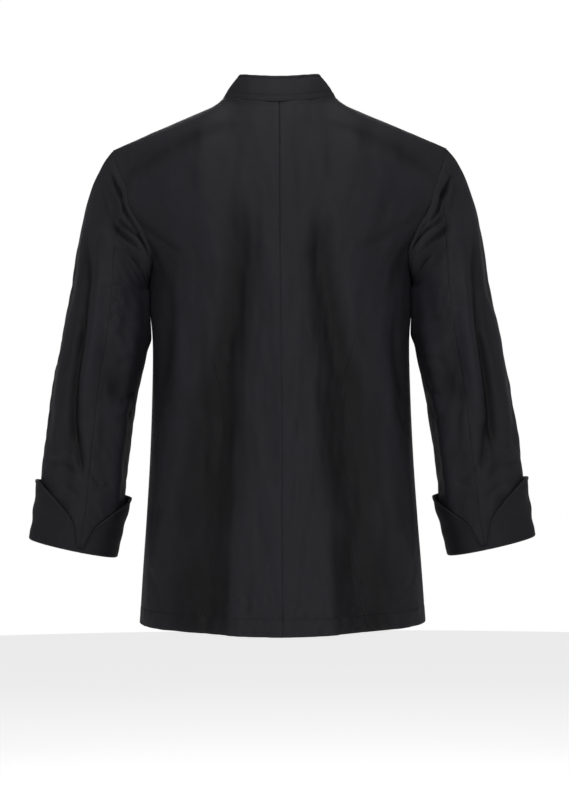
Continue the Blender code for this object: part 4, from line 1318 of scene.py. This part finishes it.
# ---------------------------------------------------------------- the cut pieces
def body_cloth(name, grid, edges, mirrored=False, lift=None):
    """A piece of the body. Only the creases differ on the right, so a mirrored piece is read there."""
    angle, level = grid[..., 0], grid[..., 1]
    if mirrored:
        angle = 180 - angle
        angle = np.where(angle > 180, angle - 360, angle)
    points, relief = body_surface(angle, level)
    outward = level_out(np.radians(angle), FLATNESS)
    tuck = under_collar(points, level)
    # painted shade in the crease where the cloth passes under the collar
    relief = relief - SEAM_SHADE_DEPTH * tuck
    shift = -COLLAR_TUCK * tuck
    if lift is not None:
        shift = shift + lift(angle, level)
    points = points + grid_normals(points, outward) * shift[..., None]
    points = trim(points, SEAM_GAP / 4)
    chart = body_chart(angle, -points[..., 2])
    return Cloth(name, points, outward, edges, chart, relief)


def opened_neckline(grid):
    """Spreads out the rows just below the neckline, where the cloth leans back and they would crowd."""
    angle, level = grid[..., 0], grid[..., 1]
    x, _, width = body_ring(np.radians(angle), np.full(angle.shape, CHEST_DROP))
    on_neck = 1 - ease((np.abs(x / width) * SHOULDER_HALF - NECK_LEAN_HALF) / NECK_LEAN_BLEND)
    below = 2 - level
    spread = np.where(below < NECK_ROWS, np.sqrt(np.maximum(below, 0) * NECK_ROWS), below)
    return readings(angle, 2 - mix(below, spread, on_neck))


def under_collar(points, level):
    """From 0 to 1, close to the neckline, where the cloth is tucked in to pass under the collar."""
    below = (1 - np.sin(np.clip(level - 1, 0, 1) * math.pi / 2)) * NECK_RUN
    beside = ease((NECK_HALF + 2 - np.abs(points[..., 0])) / 6.0)
    return ridge(below, COLLAR_TUCK_WIDTH) * beside


def back_grid():
    """Centre back, hem, side-back seam with the upper armhole, and shoulder with the neckline."""
    kink = PRINCESS_LEVEL / 2

    def outer(t):
        level = 2 * np.asarray(t)
        on_seam = level < PRINCESS_LEVEL
        return readings(np.where(on_seam, princess_angle(level), armhole_angle(level)), level)

    hem = line((90, 0), (float(princess_angle(np.array(0.0))), 0))
    share = neck_point_share()
    across = fine_ends(steps(0, 16, share, 4, share + NECK_COLUMN, 38, 1), BACK_WIDTH)
    up = fine_ends(steps(0, 140, 0.5, 24, kink, 66, 1), HEM_PACE, (EDGE["hem"]["stitches"],))
    return opened_neckline(coons(line((90, 0), (90, 2)), outer, hem, line((90, 2), (0, 2)), across, up))


def side_back_grid():
    """Side-back seam, hem, side seam and the lower back of the armhole."""

    def inner(t):
        level = PRINCESS_LEVEL * np.asarray(t)
        return readings(princess_angle(level), level)

    def outer(t):
        level = PRINCESS_LEVEL * np.asarray(t)
        past = (level - 1) / (PRINCESS_LEVEL - 1)
        level = np.where(level < 1, level, mix(1, SIDE_BACK_CORNER, past))
        return readings(armhole_angle(level), level)

    def upper(s):
        level = mix(PRINCESS_LEVEL, SIDE_BACK_CORNER, np.asarray(s))
        return readings(armhole_angle(level), level)

    start = float(princess_angle(np.array(0.0)))
    length = HEM_PACE * PRINCESS_LEVEL / 2
    up = fine_ends(steps(0, 140, 1 / PRINCESS_LEVEL, 20, 1), length, (EDGE["hem"]["stitches"],))
    across = fine_ends(steps(0, 38, 1), SIDE_BACK_WIDTH)
    return coons(inner, outer, line((start, 0), (0, 0)), upper, across, up)


def front_grid():
    """Free edge with its slant, hem, side seam with the armhole, and shoulder with the neckline."""

    def free_edge(t):
        level = 2 * np.asarray(t)
        return readings(-90 - overlap_angle(level), level)

    def outer(t):
        level = 2 * np.asarray(t)
        return readings(-armhole_angle(level), level)

    start = -90 - float(overlap_angle(np.array(0.0)))
    share = neck_point_share()
    hem = bent_line((start, 0), (start / 2, 0), (0, 0), share)
    across = steps(0, 46, share, 4, share + NECK_COLUMN, 48, 1)
    across = fine_ends(across, FRONT_WIDTH, (EDGE["edge"]["stitches"],))
    up = fine_ends(steps(0, 140, 0.5, 44, FLAP_LEVEL / 2, 60, 1), HEM_PACE, (EDGE["hem"]["stitches"],))
    return opened_neckline(coons(free_edge, outer, hem, line((-90, 2), (0, 2)), across, up))


def over_the_under_front(angle, level):
    """Lifts the outer front off the one that it overlaps."""
    beyond = angle + 90 - overlap_angle(level)
    on_slant = ease((level - 1.4) / 0.2) * ease((1.95 - level) / 0.2)
    return LAYER * (1 + 0.3 * on_slant) * (1 - ease((beyond - LAP_EASE) / LAP_EASE))


def back_seam(along):
    return read(BACK_SEAM_SWAY, BACK_SEAM_COLUMNS, "angle", along)


def front_seam(along):
    return FRONT_SEAM + 0 * along


def front_seam_before(along):
    """The same seam, as the top sleeve's edge on the other side of the shoulder point."""
    return front_seam(along) - 360


def sleeve_cloth(name, first, last, columns, mirrored, edges):
    """A piece of the sleeve between two seams, each an angle that changes down the sleeve."""
    width = float((last(0.0) - first(0.0)) * ROUND)
    across = fine_ends(np.linspace(0, 1, columns + 1), width)
    down = fine_ends(steps(0, 66, 0.5, 34, 0.6, 80, 1), CAP_LENGTH + ARM_LENGTH)
    share, along = np.meshgrid(across, 2 * down)
    angle = mix(first(along), last(along), share)
    points, relief = sleeve_surface(angle, along, mirrored)
    points = trim(points, SEAM_GAP / 4, ends=False)
    u, v = sleeve_chart(angle, along)
    return Cloth(name, points, level_out(np.radians(angle)), edges, (u * ROUND, v), relief)


def cuff_cloth(name):
    beside = np.array([1.3, 2.6, 4, 5.5, 7.2, 9, 11, 13.5, 16.5, 20, 24])
    spread = np.linspace(0, 1, 97)[:-1]
    angles = CUFF_NOTCH + np.concatenate([-beside[::-1], [0], beside, mix(27.0, 333.0, spread)])
    upward = fine_ends(steps(0, 18, 0.75, 26, 1), CUFF_HEIGHT, (-EDGE["cuff"]["stitches"],))
    shares = np.concatenate([[-1.0, -0.75, -0.5, -0.25], upward])
    angle, share = np.meshgrid(angles, shares)
    height = np.where(share < 0, share, share * cuff_edge_height(angle))
    points = cuff_point(angle, height)
    outward = level_out(np.radians(angle))
    chart = (angle * ROUND, height)
    return Cloth(name, points, outward, {"top": "cuff"}, chart, 0 * share, round_about=True)


def collar_cloth():
    bound = EDGE["bound"]["stitches"]
    across = fine_ends(np.linspace(0, 1, 150), COLLAR_LENGTH, (bound, -bound))
    heights = fine_ends(np.linspace(0, 1, 14), COLLAR_RUN, (EDGE["stand"]["stitches"], -bound))
    share, height = np.meshgrid(across, heights)
    corner = np.clip((height - 0.6) / 0.4, 0, 1)
    gap = COLLAR_FRONT_GAP + COLLAR_CORNER * (1 - np.sqrt(1 - corner**2))
    angle = mix(-90 + gap, 270 - gap, share)
    points = collar_point(angle, height)
    edges = {"bottom": "stand", "top": "bound", "left": "bound", "right": "bound"}
    chart = collar_chart(angle, height)
    # painted shade along the collar's seam
    seam_shade = -SEAM_SHADE_DEPTH * ridge(chart[1], 1.6)
    return Cloth("collar_cloth", points, level_out(np.radians(angle)), edges, chart, seam_shade)


# ---------------------------------------------------------------- buttons and buttonholes
HOLE_RADIUS = 1.0
HOLE_OFFSET = 2.1  # middle of the button to the middle of a hole, along both of its sides
DISH = 0.66  # height of the dish's floor, as a share of the button's

# Shares of the button's radius and height, from the middle of its underside over the rim to the dish.
BUTTON_PROFILE = (
    (0, 0), (0.55, 0), (0.8, 0.05), (0.93, 0.2), (0.99, 0.42), (1, 0.6), (0.985, 0.78), (0.94, 0.92),
    (0.87, 1), (0.79, 0.98), (0.72, 0.86), (0.66, 0.74), (0.58, 0.68), (0.3, DISH), (0, DISH),
)


def button_mesh():
    """A turned button, dished inside a rolled rim, with four drilled holes."""
    sides = 56
    made = bmesh.new()
    rings = []
    for radius_share, height_share in BUTTON_PROFILE:
        radius, height = radius_share * BUTTON_RADIUS, height_share * BUTTON_HEIGHT
        count = sides if radius else 1
        turns = [2 * math.pi * k / sides for k in range(count)]
        ring = [(radius * math.cos(a) * MM, radius * math.sin(a) * MM, height * MM) for a in turns]
        rings.append([made.verts.new(place) for place in ring])
    for lower, upper in zip(rings, rings[1:]):
        for k in range(sides):
            n = (k + 1) % sides
            below = (lower[k % len(lower)], lower[n % len(lower)])
            above = (upper[n % len(upper)], upper[k % len(upper)])
            made.faces.new(tuple(dict.fromkeys(below + above)))
    bmesh.ops.recalc_face_normals(made, faces=made.faces)
    mesh = bpy.data.meshes.new("button_body")
    made.to_mesh(mesh)
    made.free()

    drill = bmesh.new()
    for sx in (-1, 1):
        for sy in (-1, 1):
            size = {"radius1": HOLE_RADIUS * MM, "radius2": HOLE_RADIUS * MM, "depth": 3 * BUTTON_HEIGHT * MM}
            hole = bmesh.ops.create_cone(drill, cap_ends=True, segments=20, **size)
            place = (sx * HOLE_OFFSET * MM, sy * HOLE_OFFSET * MM, 0)
            bmesh.ops.translate(drill, verts=hole["verts"], vec=place)
    cutter_mesh = bpy.data.meshes.new("drill")
    drill.to_mesh(cutter_mesh)
    drill.free()
    body = bpy.data.objects.new("button_body", mesh)
    cutter = bpy.data.objects.new("drill", cutter_mesh)
    for made in (body, cutter):
        bpy.context.scene.collection.objects.link(made)
    cut = body.modifiers.new("holes", "BOOLEAN")
    cut.operation, cut.object = "DIFFERENCE", cutter
    graph = bpy.context.evaluated_depsgraph_get()
    drilled = bpy.data.meshes.new_from_object(body.evaluated_get(graph))
    for made in (body, cutter):
        bpy.data.objects.remove(made, do_unlink=True)
    drilled.shade_smooth()
    drilled.set_sharp_from_angle(angle=math.radians(40))
    return drilled


def thread(path, radius, sides=6):
    """A thread of even thickness along a short path."""
    path = np.asarray(path, float)
    ahead = unit(np.gradient(path, axis=0))
    across = unit(np.cross(ahead, np.array([0.0, 0.0, 1.0])) + 1e-9)
    over = unit(np.cross(across, ahead))
    return tube(path, across, over, np.full(len(path), radius), sides)


def button_thread_mesh():
    """The thread that crosses between a button's holes, three strands each way."""
    strands = []
    for across in (1, -1):
        for strand in (-1, 0, 1):
            shift = np.array([-across, 1.0]) * strand * 0.26
            t = np.linspace(-1, 1, 9)
            flat = np.outer(t, np.array([1.0, across]) * HOLE_OFFSET) + shift / math.sqrt(2)
            rise = DISH * BUTTON_HEIGHT - 0.6 + 0.95 * (1 - t**4) + 0.12 * (across > 0)
            strands.append(thread(np.column_stack([flat, rise]), 0.17))
    return tubes_mesh("button_thread", strands)


def front_place(x, drop):
    """Readings of the point of the front at this distance from the middle and this drop."""
    degrees_per_mm, levels_per_mm = 0.35, 0.0015
    angle, level = -90.0, 1.0
    for _ in range(40):
        point = body_point(np.array(angle), np.array(level))
        angle += (x - point[0]) * degrees_per_mm
        level -= (drop + point[2]) * levels_per_mm
    return angle, level


def front_normal(angle, level):
    a, b = np.array(angle), np.array(level)
    along_a = body_point(a + 2.0, b) - body_point(a - 2.0, b)
    along_b = body_point(a, b + 0.02) - body_point(a, b - 0.02)
    return Vector(unit(np.cross(along_a, along_b)))


def add_button(name, x, drop, surface, button, strands):
    """A button laid on the cloth, just clear of the highest point beneath it."""
    angle, level = front_place(x, drop)
    normal = front_normal(angle, level)
    above = Vector(body_point(np.array(angle), np.array(level)) * MM) + normal * 3 * LAYER * MM
    turn = normal.to_track_quat("Z", "Y")
    heights = []
    for radius in (0.0, 0.5 * BUTTON_RADIUS, BUTTON_RADIUS):
        for k in range(14):
            around = 2 * math.pi * k / 14
            foot = Vector((radius * math.cos(around), radius * math.sin(around), 0)) * MM
            heights.append(surface.ray_cast(above + turn @ foot, -normal)[3])
    place = above - normal * (min(heights) - BUTTON_CLEARANCE * MM)
    for suffix, mesh, material, slot, nodes in (
        ("_moulded", button, MATERIALS["plastic"], "buttons", (name,)),
        ("_thread", strands, MATERIALS["thread"], "buttons", ()),
    ):
        copy = mesh.copy()
        copy.materials.clear()
        made = add_piece(name + suffix, copy, material, nodes)
        made.location = place
        made.rotation_euler = turn.to_euler()


def buttonhole_lines(surface, x, drop):
    """Bars of thread along both sides of a buttonhole, and bars at its two ends."""
    length, half, pitch = 21.0, 1.9, 0.62
    start = x - 3.0
    bars = []
    for k in range(int(length / pitch)):
        at = start + k * pitch
        for side in (-1, 1):
            bars.append(((at, side * 0.25), (at, side * half)))
    for end in (start - 0.4, start + length + 0.2):
        tip = end + 1.1 * (1 if end > x else -1)
        for k in range(6):
            across = -half + 0.1 + k * 0.7
            bars.append(((end, across), (tip, across)))
    found = []
    for (x0, z0), (x1, z1) in bars:
        path = []
        for share in np.linspace(0, 1, 4):
            px, pz = mix(x0, x1, share), -drop + mix(z0, z1, share)
            hit = surface.ray_cast(Vector((px, -400.0, pz)) * MM, Vector((0, 1, 0)))
            lift = 0.06 + 0.22 * math.sin(math.pi * share)
            path.append(np.array(hit[0]) / MM + np.array(hit[1]) * lift)
        found.append(np.array(path))
    return found


def add_buttonholes(surface):
    holes = (buttonhole_lines(surface, -BUTTON_COLUMN, button_drop(row)) for row in range(BUTTON_ROWS))
    mesh = tubes_mesh("buttonholes", [thread(path, 0.24, 5) for hole in holes for path in hole])
    add_piece("buttonholes", mesh, MATERIALS["thread"])


# ---------------------------------------------------------------- the whole jacket
def make_jacket():
    twill, cuff_twill = MATERIALS["body"], MATERIALS["cuff"]
    surfaces = {}
    for side, mirrored in (("left", False), ("right", True)):
        edges = {"left": "centre", "right": "faint", "bottom": "hem", "top": "faint"}
        cloth = body_cloth(f"back_{side}_cloth", back_grid(), edges, mirrored)
        add_cloth(cloth, twill, "back_" + side, ("bottom",), flat=(0.24, 0.77), area=0.114)
        edges = {"left": "faint", "right": "faint", "bottom": "hem", "top": "armhole"}
        cloth = body_cloth(f"side_back_{side}_cloth", side_back_grid(), edges, mirrored)
        add_cloth(cloth, twill, "side_back_" + side, ("bottom",), flat=(0.16, 0.60), area=0.081)
        edges = {"left": "edge", "right": "faint", "bottom": "hem", "top": "faint"}
        lift = None if mirrored else over_the_under_front
        cloth = body_cloth(f"front_{side}_cloth", front_grid(), edges, mirrored, lift)
        made = add_cloth(cloth, twill, "front_" + side, ("bottom", "left"), flat=(0.37, 0.77), area=0.243)
        surfaces[side] = made

        edges = {"left": "faint", "right": "behind_arm", "top": "plain", "bottom": "armhole"}
        name = f"top_sleeve_{side}_cloth"
        cloth = sleeve_cloth(name, front_seam_before, back_seam, 100, mirrored, edges)
        add_cloth(cloth, twill, "top_sleeve_" + side, (), mirrored, flat=(0.27, 0.58), area=0.12)
        edges = {"left": "behind_arm", "right": "faint", "top": "plain", "bottom": "armhole"}
        cloth = sleeve_cloth(f"under_sleeve_{side}_cloth", back_seam, front_seam, 72, mirrored, edges)
        add_cloth(cloth, twill, "under_sleeve_" + side, (), mirrored, flat=(0.19, 0.52), area=0.07)
        cloth = cuff_cloth(f"cuff_{side}_cloth")
        cut = {"flat": (0.375, 0.085), "area": 0.0296, "held": "folded"}
        add_cloth(cloth, cuff_twill, "cuff_" + side, ("top",), mirrored, **cut)

    cloth = collar_cloth()
    cut = {"flat": (0.42, 0.041), "area": 0.0172, "held": "folded"}
    add_cloth(cloth, twill, "collar", ("bottom", "top", "left", "right"), **cut)

    front = surfaces["left"].data
    faces = [tuple(f.vertices) for f in front.polygons]
    surface = BVHTree.FromPolygons([v.co for v in front.vertices], faces)
    button, strands = button_mesh(), button_thread_mesh()
    for column, x in (("left", BUTTON_COLUMN), ("right", -BUTTON_COLUMN)):
        for row in range(BUTTON_ROWS):
            add_button(f"button_{column}_{row + 1}", x, button_drop(row), surface, button, strands)
    add_buttonholes(surface)


# ---------------------------------------------------------------- camera, floor and light
CAMERA_PLACE = (-0.0045, 2.8, -0.422)
CAMERA_LENS = 88.7
CAMERA_ROLL = 0.006
FLOOR_HEIGHT = -1.45
GLOW = 0.12
FLOOR_SHINE = 0.7  # what the floor adds to its own light as the camera sees it
FLOOR_FILL = 0.1  # and what it throws up at the jacket

LIGHT_COLUMNS = ("name", "place", "aim", "size", "power")
LIGHTS = (
    ("top", (0.0, 0.0, 2.8), (0.0, 0.0, -0.3), (1.6, 3.2), 19.0),
    ("back_key", (-0.1, 3.0, 1.2), (0.0, 0.1, -0.3), (1.3, 1.0), 20.5),
    ("back_left", (1.3, 2.7, -0.2), (0.2, 0.1, -0.45), (1.0, 1.2), 4.0),
    ("back_right", (-1.3, 2.7, -0.2), (-0.2, 0.1, -0.45), (1.0, 1.2), 4.0),
    ("front_key", (0.1, -3.0, 1.2), (0.0, -0.1, -0.3), (1.3, 1.0), 15.0),
    ("front_left", (1.3, -2.7, -0.2), (0.2, -0.1, -0.45), (1.0, 1.2), 2.5),
    ("front_right", (-1.3, -2.7, -0.2), (-0.2, -0.1, -0.45), (1.0, 1.2), 2.5),
    ("left_side", (3.0, -0.3, 1.0), (0.2, 0.0, -0.35), (1.0, 1.0), 4.5),
    ("right_side", (-3.0, -0.3, 1.0), (-0.2, 0.0, -0.35), (1.0, 1.0), 4.5),
)


def make_camera():
    data = bpy.data.cameras.new("camera")
    data.sensor_width, data.lens = 36.0, CAMERA_LENS
    camera = bpy.data.objects.new("camera", data)
    camera.location = CAMERA_PLACE
    camera.rotation_euler = (math.radians(90), CAMERA_ROLL, math.radians(180))
    bpy.context.scene.collection.objects.link(camera)
    bpy.context.scene.camera = camera


def brighter_in_sight(tree, light, shown, socket):
    """One strength for the light that reaches the jacket, and another for what the camera sees."""
    sight = node(tree, "ShaderNodeLightPath")
    strength = node(tree, "ShaderNodeMapRange", To_Min=light, To_Max=shown)
    tree.links.new(sight.outputs["Is Camera Ray"], strength.inputs["Value"])
    tree.links.new(strength.outputs["Result"], socket)


def make_floor():
    made = bmesh.new()
    bmesh.ops.create_circle(made, cap_ends=True, segments=96, radius=6.0)
    mesh = bpy.data.meshes.new("floor")
    made.to_mesh(mesh)
    made.free()
    values = {"Base_Color": (0.85, 0.85, 0.85, 1.0), "Emission_Color": (1.0, 1.0, 1.0, 1.0), "Roughness": 0.9}
    material, tree, shader = new_material("pale_floor", **values)
    brighter_in_sight(tree, FLOOR_FILL, FLOOR_SHINE, shader.inputs["Emission Strength"])
    mesh.materials.append(material)
    floor = bpy.data.objects.new("floor", mesh)
    floor.location = (0.0, 0.0, FLOOR_HEIGHT)
    bpy.context.scene.collection.objects.link(floor)


def add_light(name, place, aim, size, power):
    data = bpy.data.lights.new(name, "AREA")
    data.shape, data.size, data.size_y, data.energy = "RECTANGLE", size[0], size[1], power
    light = bpy.data.objects.new(name, data)
    light.location = place
    light.rotation_euler = (Vector(aim) - Vector(place)).to_track_quat("-Z", "Y").to_euler()
    bpy.context.scene.collection.objects.link(light)


def make_light():
    """A white studio: broad soft lights above and in front of every side, and a dimmer glow all round."""
    bpy.context.scene.view_settings.view_transform = "Standard"
    world = bpy.data.worlds.new("studio")
    bpy.context.scene.world = world
    world.use_nodes = True
    tree = world.node_tree
    sky = tree.nodes["Background"]
    sky.inputs["Color"].default_value = (1.0, 1.0, 1.0, 1.0)
    brighter_in_sight(tree, GLOW, 1.0, sky.inputs["Strength"])
    for row in LIGHTS:
        light = dict(zip(LIGHT_COLUMNS, row))
        add_light(**light)


make_camera()
make_floor()
make_light()
make_jacket()
